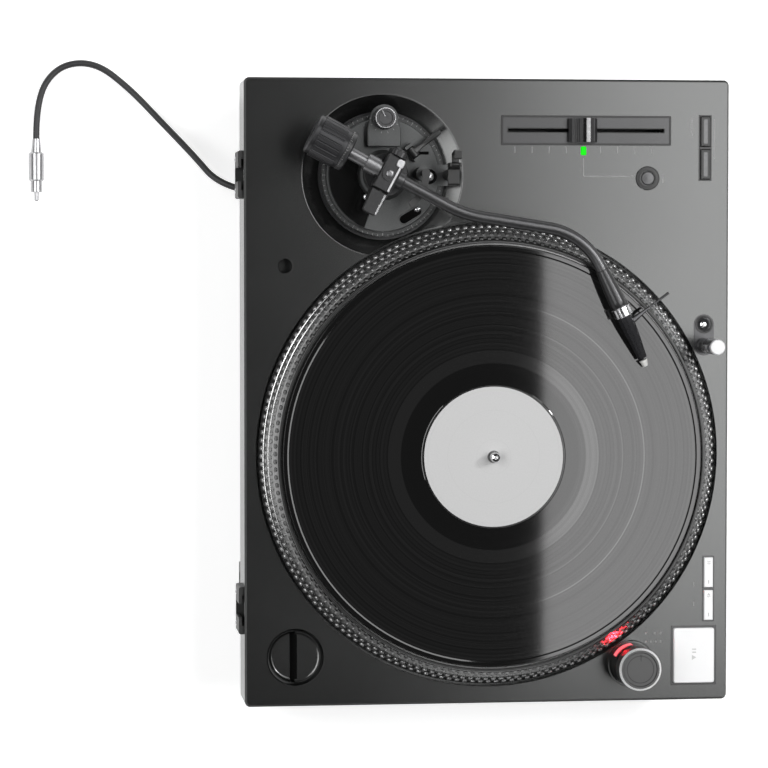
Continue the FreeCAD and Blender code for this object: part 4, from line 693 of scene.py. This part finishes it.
def buildCapLine(shape):
    along, up = capTrim["lineAt"]
    slope = Matrix.Rotation(math.radians(capTrim["lineSlope"]), 4, "Y")
    slab(shape, roundedBox(0, 0, *capTrim["line"]), -0.3, 0.14, 0.0,
         at(capTrim["x"] + along, capTrim["y"], capTrim["foot"] + up) @ slope)


# bright metal for the dial's edge and, as a painted highlight, the yoke's ridge
trimAndHighlightMetal = makePlain("trimAndHighlightMetal", (0.62, 0.62, 0.63), 0.24, 0.9, grain=400, depth=0.002, spread=0.04)
capMetal = makePlain("capMetal", (0.12, 0.12, 0.122), 0.26, 0.95, grain=400, depth=0.002)
addPiece("pitchLamp", buildPitchLamp, "deck", makeGreenGlow(pitchLamp))
addPiece("capRidge", buildRidge, "fader_cap", capMetal)
addPiece("capLine", buildCapLine, "fader_cap", finishOf("reset_button"))

# frames: a dark edge round the fader's panel, a lip along its slot, rings round the reset button and the
# lamp's release, inlays in the range pair
frames = {"panel": (73.0, 188.2, 124.4, 21.4), "panelTop": 96.2, "edge": 1.5,
          "slot": (73.0, 188.2, 115.2, 3.7), "lip": 0.6, "inlay": (2.9, 17.4, 0.5), "inlayTop": 97.8,
          "reset": [(5.1, 96.5), (5.1, 97.0), (5.5, 97.15), (6.6, 96.95), (8.1, 96.95), (8.5, 96.6)],
          "release": [(5.2, -0.05), (5.4, 0.05), (6.5, 0.05), (6.7, -0.05)]}


def buildBand(shape, x, y, wide, long, edge, low, high, radius):
    # a flat frame: an outline, and the same outline drawn in by the frame's width
    outer = roundedBox(x, y, wide, long, radius)
    inner = roundedBox(x, y, wide - 2 * edge, long - 2 * edge, radius * 0.5)
    joinRings(shape, [[put(shape, *point, height) for point in ring]
                      for ring, height in ((outer, low), (outer, high), (inner, high), (inner, low))])


def buildFrames(shape):
    top = frames["panelTop"]
    buildBand(shape, *frames["panel"], frames["edge"], top - 0.3, top + 0.25, 0.8)
    buildBand(shape, *frames["slot"], frames["lip"], top - 0.2, top + 0.06, 0.4)


def addInlay(name):
    top = frames["inlayTop"]
    outline = roundedBox(*centreOf(name), *frames["inlay"])
    addPiece(f"inlay_{name}", lambda shape: slab(shape, outline, top - 0.2, top + 0.08), name, inlayMetal)


def addRing(name, profile, centre, foot):
    addPiece(name, lambda shape: lathe(shape, profile, 56, at(*centre, foot)), "deck", frameBlack)


frameBlack = makePlain("frameBlack", (0.016, 0.016, 0.016), 0.4, 0.3, grain=900, depth=0.004)
inlayMetal = makePlain("inlayMetal", (0.085, 0.085, 0.086), 0.3, 0.8, grain=500, depth=0.004)
addPiece("faderFrame", buildFrames, "deck", frameBlack)
addRing("resetRing", frames["reset"], centreOf("reset_button"), 0)
addRing("releaseRing", frames["release"], centreOf("lamp_release"), topOf("lamp_panel"))
addInlay("range_wide_button")
addInlay("range_narrow_button")
print("deck prints and fader trim done")


# small words: plain numbers and generic signs only
marks = {"high": 3.0, "number": 3.6, "bar": 4, "barBox": (0.5, 2.6, 0.2), "proud": (-0.05, 0.04),
         "arrow": [(-1.6, -3.2), (1.6, -1.4), (-1.6, 0.4)], "pause": (2.4, 4.6), "pauseBox": (3.0, 0.9, 0.2)}


def addText(name, words, place, high, body, finish):
    text = bpy.data.curves.new(name, "FONT")
    text.body = words
    text.size = high * mm
    text.extrude = 0.03 * mm
    text.align_x, text.align_y = "CENTER", "CENTER"
    text.materials.append(finish)
    piece = bpy.data.objects.new(name, text)
    piece.matrix_world = place
    bpy.context.collection.objects.link(piece)
    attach(piece, body)


def buildMark(body, outlines):
    # thin raised marks on top of a button
    def build(shape):
        for outline in outlines:
            slab(shape, outline, *(topOf(body) + lift for lift in marks["proud"]))
    return build


greyInk = makePlain("greyInk", (0.3, 0.3, 0.3), 0.5, grain=900, depth=0.002)
paleInk = makePlain("paleInk", (0.5, 0.5, 0.5), 0.5, grain=900, depth=0.002)
for name, words in (("speed_33_button", "33"), ("speed_45_button", "45")):
    low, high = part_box(name)
    x = centreOf(name)[0]
    numberAt = at(x, high.y * 1000 - marks["number"], topOf(name) + 0.01, -90)
    addText(f"mark_{words}", words, numberAt, marks["high"], name, greyInk)
    bar = roundedBox(x, low.y * 1000 + marks["bar"], *marks["barBox"])
    addPiece(f"bar_{words}", buildMark(name, [bar]), name, greyInk)
x, y = centreOf("start_button")
signs = [[(x + a, y + b) for a, b in marks["arrow"]]]
signs += [roundedBox(x, y + step, *marks["pauseBox"]) for step in marks["pause"]]
addPiece("startMarks", buildMark("start_button", signs), "start_button", paleInk)


# target lamp: a white disc in its top, with a painted glow
lampTop = {"profile": [(4.9, -0.6), (4.9, -0.05), (4.4, 0), (0, 0)], "proud": 0.15, "glow": 0.12}


def buildLampDisc(shape):
    top = topOf("target_lamp") + lampTop["proud"]
    lathe(shape, lampTop["profile"], 48, at(*centreOf("target_lamp"), top))


addPiece("lampDisc", buildLampDisc, "target_lamp", makeLit("lampDiscPaintedGlow", lampTop["glow"]))
print("marks done")


# screws: pan heads with a cross recess
screws = {"crown": 0.42, "crossLong": 0.62, "crossWide": 0.13, "crossDeep": 0.3, "rings": 8, "steps": 40,
          "baseX": (-156, 2, 160), "baseY": (-212, 0, 212), "baseRadius": 3.2}


def buildScrews(spots, radius):
    def lift(r, x, y):
        crown = math.cos(min(r / radius, 1) * math.pi / 2) ** 0.5 if r < radius else 0
        cross = r < radius * screws["crossLong"] and min(abs(x), abs(y)) < radius * screws["crossWide"]
        return radius * (screws["crown"] * crown - screws["crossDeep"] * cross)

    def build(shape):
        for place in spots:
            rings = []
            for ring in range(screws["rings"] + 1):
                r = radius * (1 - ring / screws["rings"])
                steps = screws["steps"] if ring < screws["rings"] else 1
                points = [polar(r, 360 * i / steps, (0, 0)) for i in range(steps)]
                rings.append([put(shape, x, y, lift(r, x, y), place) for x, y in points])
            joinRings(shape, rings)
    return build


screwSteel = makePlain("screwSteel", (0.45, 0.45, 0.46), 0.25, 1.0, grain=500, depth=0.003)
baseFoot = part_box("base_mould")[0].z * 1000 - 0.01
baseSpots = [at(x, y, baseFoot, 0, (0, 0, -1)) for x in screws["baseX"] for y in screws["baseY"]]
addPiece("baseScrews", buildScrews(baseSpots, screws["baseRadius"]), "deck", screwSteel, 50)

# at the back: four screws hold the terminal plate, two each hinge socket
rear = {"plateX": -157.48, "plateY": (103.5, 164.5), "plateZ": (29.0, 45.0), "socketAside": 11.2,
        "socketUp": 6.0, "screw": 1.9}
rearSpots = [at(rear["plateX"], y, z, y + z, (-1, 0, 0)) for y in rear["plateY"] for z in rear["plateZ"]]
for name in ("hinge_socket_right", "hinge_socket_left"):
    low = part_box(name)[0] * 1000
    for side in (-1, 1):
        y = centreOf(name)[1] + side * rear["socketAside"]
        rearSpots.append(at(low.x + 0.02, y, low.z + rear["socketUp"], 30 * side, (-1, 0, 0)))
addPiece("rearScrews", buildScrews(rearSpots, rear["screw"]), "deck", screwSteel, 50)


# details of the tonearm base, placed from the pivot; a screw has its spot, lift and turn
base = {
    "top": 102.0, "armTurn": -28.0, "cover": 1.6, "coverShadeReach": (18.6, 39.6), "coverShadeTurns": (-110, -206),
    "slot": (26.0, 15.8, 13.5, 2.2), "oval": (19.6, -28.6, 31), "ovalBox": (17.0, 6.0),
    "ovalRim": ((0.0, -0.1), (0.0, 0.35), (0.5, 0.35), (0.9, -0.1)),
    "screws": [(-12.3, -15.6, 1.58, 20), (-10.0, -21.4, 1.58, 50), (24.6, -24.2, 0.02, 65)],
    "screwRadius": 2.1, "dome": (33.0, -1.0),
    "domeProfile": [(3.3, -0.2), (3.3, 0.7), (3.1, 1.3), (2.5, 1.9), (1.5, 2.4), (0.7, 2.6), (0, 2.62)],
    "cupProfile": [(5.4, -0.1), (5.4, 0.3), (5.0, 0.5), (4.0, 0.15), (3.2, 0.1)],
}
# black of the carriage's cover, which is partly painted shade, and of the rest screw's cup
coverBlack = makePlain("coverBlack", (0.004, 0.004, 0.004), 0.16, grain=500, depth=0.003,
                       Specular_IOR_Level=0.3)
# dead black, painted shade in openings: the carriage's slots and the adaptor well's step
paintedShadeBlack = makePlain("paintedShadeBlack", (0.001, 0.001, 0.001), 0.95, grain=500, depth=0.003,
                      Specular_IOR_Level=0.1)
domeNickel = makePlain("domeNickel", (0.75, 0.75, 0.76), 0.3, 1.0, grain=400, depth=0.002)


def fromPivot(x, y, lift=0.0, turn=0.0):
    # a place on top of the carriage
    return at(pivot[0] + x, pivot[1] + y, base["top"] + lift, turn)


def buildCover(shape):
    # a quarter of the carriage under a smooth black cover, from the weight's side round to the yoke; the
    # cover is partly real and partly painted shade under the weight and the arm
    inner, outer = base["coverShadeReach"]
    turns = spread(*base["coverShadeTurns"], 16)
    points = [polar(outer, turn) for turn in turns] + [polar(inner, turn) for turn in reversed(turns)]
    outlineSlab(shape, points, base["top"] - 0.3, base["top"] + base["cover"], 0.5)


# black slabs over the dash slot and the lift guide's oval, painted shade for their openings
def buildSlots(shape):
    x, y, wide, long = base["slot"]
    slab(shape, roundedBox(0, 0, wide, long, 0.5), -0.2, 0.03, 0.0, fromPivot(x, y))
    x, y, turn = base["oval"]
    wide, long = base["ovalBox"]
    slab(shape, roundedBox(0, 0, wide, long, long * 0.48), -0.2, 0.03, 0.0, fromPivot(x, y, 0, turn))


def buildOvalRim(shape):
    x, y, turn = base["oval"]
    rings = []
    for grow, lift in base["ovalRim"]:
        wide, long = (side + 2 * grow for side in base["ovalBox"])
        ring = roundedBox(0, 0, wide, long, long * 0.48, 8)
        rings.append([put(shape, *point, lift, fromPivot(x, y, 0, turn)) for point in ring])
    joinRings(shape, rings)


addPiece("bearingCoverShade", buildCover, "carriage", coverBlack)
addPiece("baseSlotShade", buildSlots, "carriage", paintedShadeBlack)
addPiece("liftGuideRim", buildOvalRim, "carriage", finishOf("arm_carriage"))
addPiece("carriageScrews", buildScrews([fromPivot(*spot) for spot in base["screws"]], base["screwRadius"]),
         "carriage", screwSteel, 50)
# the polished screw in front of the arm's rest, in a shallow dark cup
addPiece("restScrew", lambda shape: lathe(shape, base["domeProfile"], 40, fromPivot(*base["dome"])),
         "carriage", domeNickel)
addPiece("restScrewCup", lambda shape: lathe(shape, base["cupProfile"], 48, fromPivot(*base["dome"])),
         "carriage", coverBlack)

# the rim of the tonearm's dish, eased as the pressing leaves it, as far as the platter's recess cuts it
dishRim = {"profile": [(57.0, 95.76), (57.4, 95.93), (57.8, 96.02), (58.2, 96.04), (58.5, 95.99)],
           "turns": (-35.5, 257.0)}


def buildDishRim(shape):
    joinRings(shape, [[put(shape, *polar(radius, turn), height) for radius, height in dishRim["profile"]]
                      for turn in spread(*dishRim["turns"], 120)], closed=False)


edgePaint = makePlain("edgePaint", (0.1, 0.1, 0.1), 0.24, 0.96, grain=1500, depth=0.004)
addPiece("dishRim", buildDishRim, "deck", edgePaint)

# cue lever: a slim blade on the barrel that turns between the carriage's ears
lever = {"away": 26, "turn": 38, "height": 108,
         "eye": [(0, -3.9), (2.5, -3.9), (3.0, -3.4), (3.0, 3.4), (2.5, 3.9), (0, 3.9)],
         "blade": [(0, 1.0, 3.4, 1.6), (4, 0.9, 2.4, 1.2), (9, 0.0, 1.5, 0.8), (12, 0.1, 1.9, 0.8),
                   (18, 1.1, 2.1, 0.8), (22.5, 1.9, 1.9, 0.8), (24.6, 2.0, 1.3, 0.6)]}


def buildLever(shape):
    place = at(*polar(lever["away"], lever["turn"]), lever["height"], lever["turn"])
    blade(shape, lever["blade"], place)
    lathe(shape, lever["eye"], 40, place @ Matrix.Rotation(math.radians(90), 4, "X"))


leverPiece = addPiece("cueLever", buildLever, "cue_lever", finishOf("cue_lever"))
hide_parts("cue_lever")

# the side-force dial's bridge: a plate with a round end on a narrower pillar
plate = {"half": 12.0, "near": 175.5, "shoulder": 187.5, "dial": 195.5, "round": 10.0, "corner": 1.2,
         "foot": 104.2, "top": 109.0, "ease": 0.6, "pillar": (188, 14.4, 20, 2),
         "pillarHeights": (101.8, 104.4)}


def buildBridge(shape):
    x, half, near, corner = pivot[0], plate["half"], plate["near"], plate["corner"]
    points = [(x - half + corner, near), (x + half - corner, near), (x + half, near + corner),
              (x + half, plate["shoulder"])]
    points += [polar(plate["round"], turn, (x, plate["dial"])) for turn in spread(0, 180, 15)]
    points += [(x - half, plate["shoulder"]), (x - half, near + corner)]
    outlineSlab(shape, points[::-1], plate["foot"], plate["top"], plate["ease"])
    slab(shape, roundedBox(x, *plate["pillar"]), *plate["pillarHeights"])


bridgePiece = addPiece("dialBridge", buildBridge, "carriage", finishOf("skate_bridge"))
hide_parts("skate_bridge")

# head of the arm: plain nickel collar, tapered faceted cartridge and its finger lift
head = {"spot": (91.95, 58.35, 134.0), "turn": -63.9,
        "collar": [(5.7, -3.5), (6.85, -3.5), (7.1, -3.2), (7.1, -2.5), (6.85, -2.3), (6.85, 2.3), (7.1, 2.5),
                   (7.1, 3.2), (6.85, 3.5), (5.7, 3.5)],
        "sleeve": [(4.2, -33.0), (4.7, -32.4), (5.2, -26), (5.9, -17), (6.3, -8), (6.4, -4.6), (6.1, -4.1),
                   (4.2, -4.0)],
        "shell": [(3.1, 5.5, 0.0), (4.5, 5.55, -0.05), (12, 5.2, -0.9), (20, 4.65, -2.3), (28, 4.05, -4.3),
                  (34, 3.55, -6.0), (37, 3.3, -6.6)],
        "facets": [(-1, 0.1), (-0.64, 0.74), (0.0, 1.0), (0.64, 0.74), (1, 0.1), (0.74, -0.86),
                   (-0.74, -0.86)],
        "lift": [(0, 0, 2.3, 1.0), (4, 0.05, 2.1, 0.95), (9, 0.1, 1.4, 0.75), (15, 0, 0.85, 0.6),
                 (24, -0.1, 0.8, 0.5), (30, 0.2, 0.95, 0.5), (33.5, 0.5, 1.0, 0.45)],
        "liftSpot": (98.7, 51.6, 134.1), "liftTurn": 37.0}
headAxis = at(*head["spot"], 0, facing(head["turn"]))


def buildShell(shape):
    place = at(*head["spot"], head["turn"])
    rings = [[put(shape, along, wide * a, drop + wide * b, place) for a, b in head["facets"]]
             for along, wide, drop in head["shell"]]
    joinRings(shape, rings)
    closeEnds(shape, rings)


def buildFinger(shape):
    blade(shape, head["lift"], at(*head["liftSpot"], head["liftTurn"]))


addPiece("headSleeve", lambda shape: lathe(shape, head["sleeve"], 64, headAxis), "arm", finishOf("arm_block"))
collarPiece = addPiece("headCollar", lambda shape: lathe(shape, head["collar"], 72, headAxis), "collar",
                       finishOf("locking_collar"))
shellPiece = addPiece("headShell", buildShell, "arm", finishOf("cartridge"), 18)
fingerPiece = addPiece("headFinger", buildFinger, "arm", finishOf("finger_lift"))
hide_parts("locking_collar")
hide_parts("cartridge")
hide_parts("finger_lift")

# yoke and block: a smooth cover with a bright ridge, a cap on its far bearing, and the block's cap and trim;
# the ridge's bright strip and the block's trim are painted highlights
yoke = {"cover": [(6.3, -13.9), (-6.3, -13.9), (-5.0, -30.0), (-3.8, -31.2), (3.8, -31.2), (5.0, -30.0)],
        "low": 131.0, "top": 140.8, "ridge": (4.3, -22.4, 1.25, 15.6, 0.5), "capAt": (18.9, 62.0, 134.0),
        "cap": [(0, -1.6), (4.6, -1.6), (4.6, -0.3), (4.1, 0.2), (2.53, 0.2), (2.3, -0.25), (0, -0.25)]}
block = {"cap": [(2.6, -0.4), (2.6, 0.4), (2.2, 0.7), (1.2, 0.8), (1.0, 0.5), (0, 0.5)],
         "trim": (4.6, -2.5, 1.3, 19.0, 0.5), "bearing": (3.7, 9.6, 5.4, 5.6, 1.6)}
blockTop = at(*pivot, topOf("arm_block"), base["armTurn"])
# a bright satin that is a painted highlight on the block
highlightSatin = makePlain("highlightSatin", (0.6, 0.6, 0.61), 0.3, 0.95, grain=400, depth=0.002)


def buildYokeCover(shape):
    slab(shape, yoke["cover"], yoke["low"], yoke["top"], 0.7, at(*pivot, 0, base["armTurn"]))


# painted highlight: a bright strip along the ridge's edge where the light catches it
def buildRidgeStrip(shape):
    slab(shape, roundedBox(*yoke["ridge"]), -1.0, 0.45, 0.35, at(*pivot, yoke["top"], base["armTurn"]))


def buildBearingCap(shape):
    away, turn, height = yoke["capAt"]
    lathe(shape, yoke["cap"], 40, at(*polar(away, turn), height, 0, facing(turn)))


def buildBlockTrim(shape):
    # painted highlight: a bright line along the head's side of the block, widened over its bearing
    slab(shape, roundedBox(*block["trim"]), -0.6, 0.22, 0.2, blockTop)
    slab(shape, roundedBox(*block["bearing"]), -0.6, 0.35, 0.5, blockTop)


addPiece("yokeCover", buildYokeCover, "yoke", finishOf("arm_block"))
addPiece("yokeRidgeHighlight", buildRidgeStrip, "yoke", trimAndHighlightMetal)
addPiece("bearingCap", buildBearingCap, "yoke", finishOf("arm_block"))
addPiece("blockCap", lambda shape: lathe(shape, block["cap"], 40, blockTop), "arm", finishOf("rear_stub"))
addPiece("blockHighlight", buildBlockTrim, "arm", highlightSatin)

# side-force dial: bright edge, pointer line and a ring of ticks on its bridge
dial = {"edge": [(6.5, -0.1), (6.7, 0.12), (7.1, 0.12), (7.3, -0.1)], "line": (0, 3.7, 0.5, 4.96, 0.2),
        "lineTurn": 25, "tick": (0, 10.1, 0.35, 1.4, 0.15), "tickTurns": range(90, 273, 26)}


def buildDialEdge(shape):
    centre, top = centreOf("skate_knob"), topOf("skate_knob")
    lathe(shape, dial["edge"], 64, at(*centre, top))
    slab(shape, roundedBox(*dial["line"]), -0.1, 0.06, 0.0, at(*centre, top, dial["lineTurn"]))


def buildDialTicks(shape):
    for turn in dial["tickTurns"]:
        place = at(*centreOf("skate_knob"), topOf("skate_bridge"), turn)
        slab(shape, roundedBox(*dial["tick"]), -0.05, 0.03, 0.0, place)


addPiece("dialEdge", buildDialEdge, "skate_knob", trimAndHighlightMetal)
addPiece("dialTicks", buildDialTicks, "carriage", faintInk)

# scales: the force ring on the stub and the height ring under the arm
forceScale = {"spot": (-104.95, 171.5, 134.0), "turn": 152.0, "radius": 14.52, "steps": 48, "each": 4,
              "long": (2.0, 1.1), "from": -1.9}
heightScale = {"radius": 43.4, "top": 99.0, "steps": 72, "each": 6, "long": (2.4, 1.3),
               "numbers": 6, "numberRadius": 39.4, "numberHigh": 2.4}


def buildForceTicks(shape):
    axis = at(*forceScale["spot"], 0, facing(forceScale["turn"]))
    upright = Matrix.Rotation(math.radians(90), 4, "Y")
    for i in range(forceScale["steps"]):
        place = axis @ at(0, 0, 0, 360 * i / forceScale["steps"]) @ at(forceScale["radius"], 0, 0) @ upright
        long = forceScale["long"][1 if i % forceScale["each"] else 0]
        slab(shape, roundedBox(forceScale["from"] + long / 2, 0, long, 0.3, 0.1), -0.1, 0.05, 0.0, place)


def buildHeightTicks(shape):
    for i in range(heightScale["steps"]):
        place = at(*pivot, heightScale["top"], 360 * i / heightScale["steps"])
        long = heightScale["long"][1 if i % heightScale["each"] else 0]
        slab(shape, roundedBox(heightScale["radius"] - long / 2, 0, long, 0.3, 0.1), -0.05, 0.04, 0.0, place)


addPiece("ringTicks", buildForceTicks, "scale_ring", faintInk)
addPiece("heightTicks", buildHeightTicks, "height_ring", faintInk)
for i in range(heightScale["numbers"]):
    turn = 60 * i + 10
    numberAt = at(*polar(heightScale["numberRadius"], turn), heightScale["top"] + 0.01, turn - 90)
    addText(f"height_{i}", str(i), numberAt, heightScale["numberHigh"], "height_ring", faintInk)
print("tonearm details done")

# spare adaptor well: its walls slope inwards, half its floor is a step deeper
well = {"spot": (-137.7, -189.7), "radius": 19.8, "top": 95.9, "floors": ((-90, 90, 91.05), (90, 270, 87.05)),
        "slope": 3.6, "levels": (0, 0.3, 0.6, 0.85, 1.0),
        "step": ((1.6, 17.28, 91.06), (0, 17.28, 91.04), (-1.7, 16.88, 88.8), (-3.4, 16.48, 87.08))}


def buildWell(shape):
    for low, high, floor in well["floors"]:
        rings = []
        for level in well["levels"]:
            a = level * math.pi / 2
            radius = well["radius"] - well["slope"] * (1 - math.cos(a))
            height = well["top"] - (well["top"] - floor) * math.sin(a)
            rings.append([put(shape, *polar(radius, turn, well["spot"]), height)
                          for turn in spread(low, high, 48)])
        joinRings(shape, rings, closed=False)


# the step's face is a black sheet, painted shade under the step
def buildWellStep(shape):
    x, y = well["spot"]
    joinRings(shape, [[put(shape, x + a, y - half, height), put(shape, x + a, y + half, height)]
                      for a, half, height in well["step"]], closed=False)


addPiece("wellSlope", buildWell, "deck", finishOf("cabinet_top"), 50)
addPiece("wellStep", buildWellStep, "deck", paintedShadeBlack, 60)
print("adaptor well done")


# stage and lights: spots, aims and sizes here are metres
stage = {"floor": 0.8, "lift": 0.55, "size": 14.0, "drop": 0.0002}
walls = {"dim": 0.045, "top": 0.2, "fade": 0.1}
areaLamps = {
    "softbox": {"spot": (1.133, 0.5, 2.1), "aim": (1.133, 0.5, 0.0), "size": (1.5, 2.0), "radiance": 4.7},
    "keyLamp": {"spot": (1.4, 0.62, 1.5), "aim": (0.0, -0.04, 0.12), "size": (0.22, 0.22), "radiance": 80.0},
    "sideBox": {"spot": (-1.33, 0.2, 1.95), "aim": (-0.05, 0.12, 0.1), "size": (1.0, 1.9), "radiance": 5.5},
}
strobeLamp = {"turn": 124.5, "reach": 16.0, "height": 106.0, "power": 0.2, "cone": 100, "soft": 0.3,
              "radius": 0.002, "colour": (1, 0.015, 0.025)}


def makeFloor(plan):
    finish = Finish("floorPaint")
    paint = finish.add("BsdfDiffuse", {}, {"Color": shade(plan["floor"])})
    glow = finish.add("Emission", {}, {"Color": shade(1), "Strength": finish.seen() * plan["lift"]})
    finish.add("OutputMaterial", {}, {"Surface": finish.add("AddShader", {}, {0: paint, 1: glow})})
    return finish.owner


def makeStage(plan):
    mesh = bpy.data.meshes.new("floor")
    shape = bmesh.new()
    bmesh.ops.create_grid(shape, x_segments=2, y_segments=2, size=plan["size"] / 2)
    bmesh.ops.translate(shape, verts=shape.verts, vec=(0, 0, -plan["drop"]))
    shape.to_mesh(mesh)
    shape.free()
    mesh.materials.append(makeFloor(plan))
    floor = bpy.data.objects.new("floor", mesh)
    bpy.context.collection.objects.link(floor)


def makeWorld(plan):
    # pale walls up to a low height, as a backdrop; the ceiling stays dim
    finish = Finish("studio", bpy.data.worlds.new("studio"))
    along = finish.add("TexCoord", take="Generated")
    x, y, z = finish.add("SeparateXYZ", {}, {0: along}, take=("X", "Y", "Z"))
    wall = finish.ramp(z, plan["top"] + plan["fade"], plan["top"])
    strength = plan["dim"] + finish.seen() * wall * (1 - plan["dim"])
    light = finish.add("Background", {}, {"Color": shade(1), "Strength": strength})
    finish.add("OutputWorld", {}, {"Surface": light})
    bpy.context.scene.world = finish.owner


def addArea(name, plan):
    data = bpy.data.lights.new(name, "AREA")
    data.shape = "RECTANGLE"
    data.size, data.size_y = plan["size"]
    data.energy = plan["radiance"] * math.pi * math.prod(plan["size"])
    lamp = bpy.data.objects.new(name, data)
    lamp.matrix_world = lookFrom(plan["spot"], plan["aim"])
    bpy.context.collection.objects.link(lamp)


def addStrobeLight(plan):
    # throws the window's red light on the dots in front of it
    data = bpy.data.lights.new("strobeLight", "SPOT")
    data.energy, data.color, data.shadow_soft_size = plan["power"], plan["colour"], plan["radius"]
    data.spot_size, data.spot_blend = math.radians(plan["cone"]), plan["soft"]
    lamp = bpy.data.objects.new("strobeLight", data)
    outward = Vector(facing(plan["turn"]))
    place = at(*polar(plan["reach"], plan["turn"], tower), plan["height"])
    lamp.matrix_world = place @ outward.to_track_quat("-Z", "Y").to_matrix().to_4x4()
    bpy.context.collection.objects.link(lamp)


makeStage(stage)
makeWorld(walls)
for name, plan in areaLamps.items():
    addArea(name, plan)
addStrobeLight(strobeLamp)
print("stage and lights done")
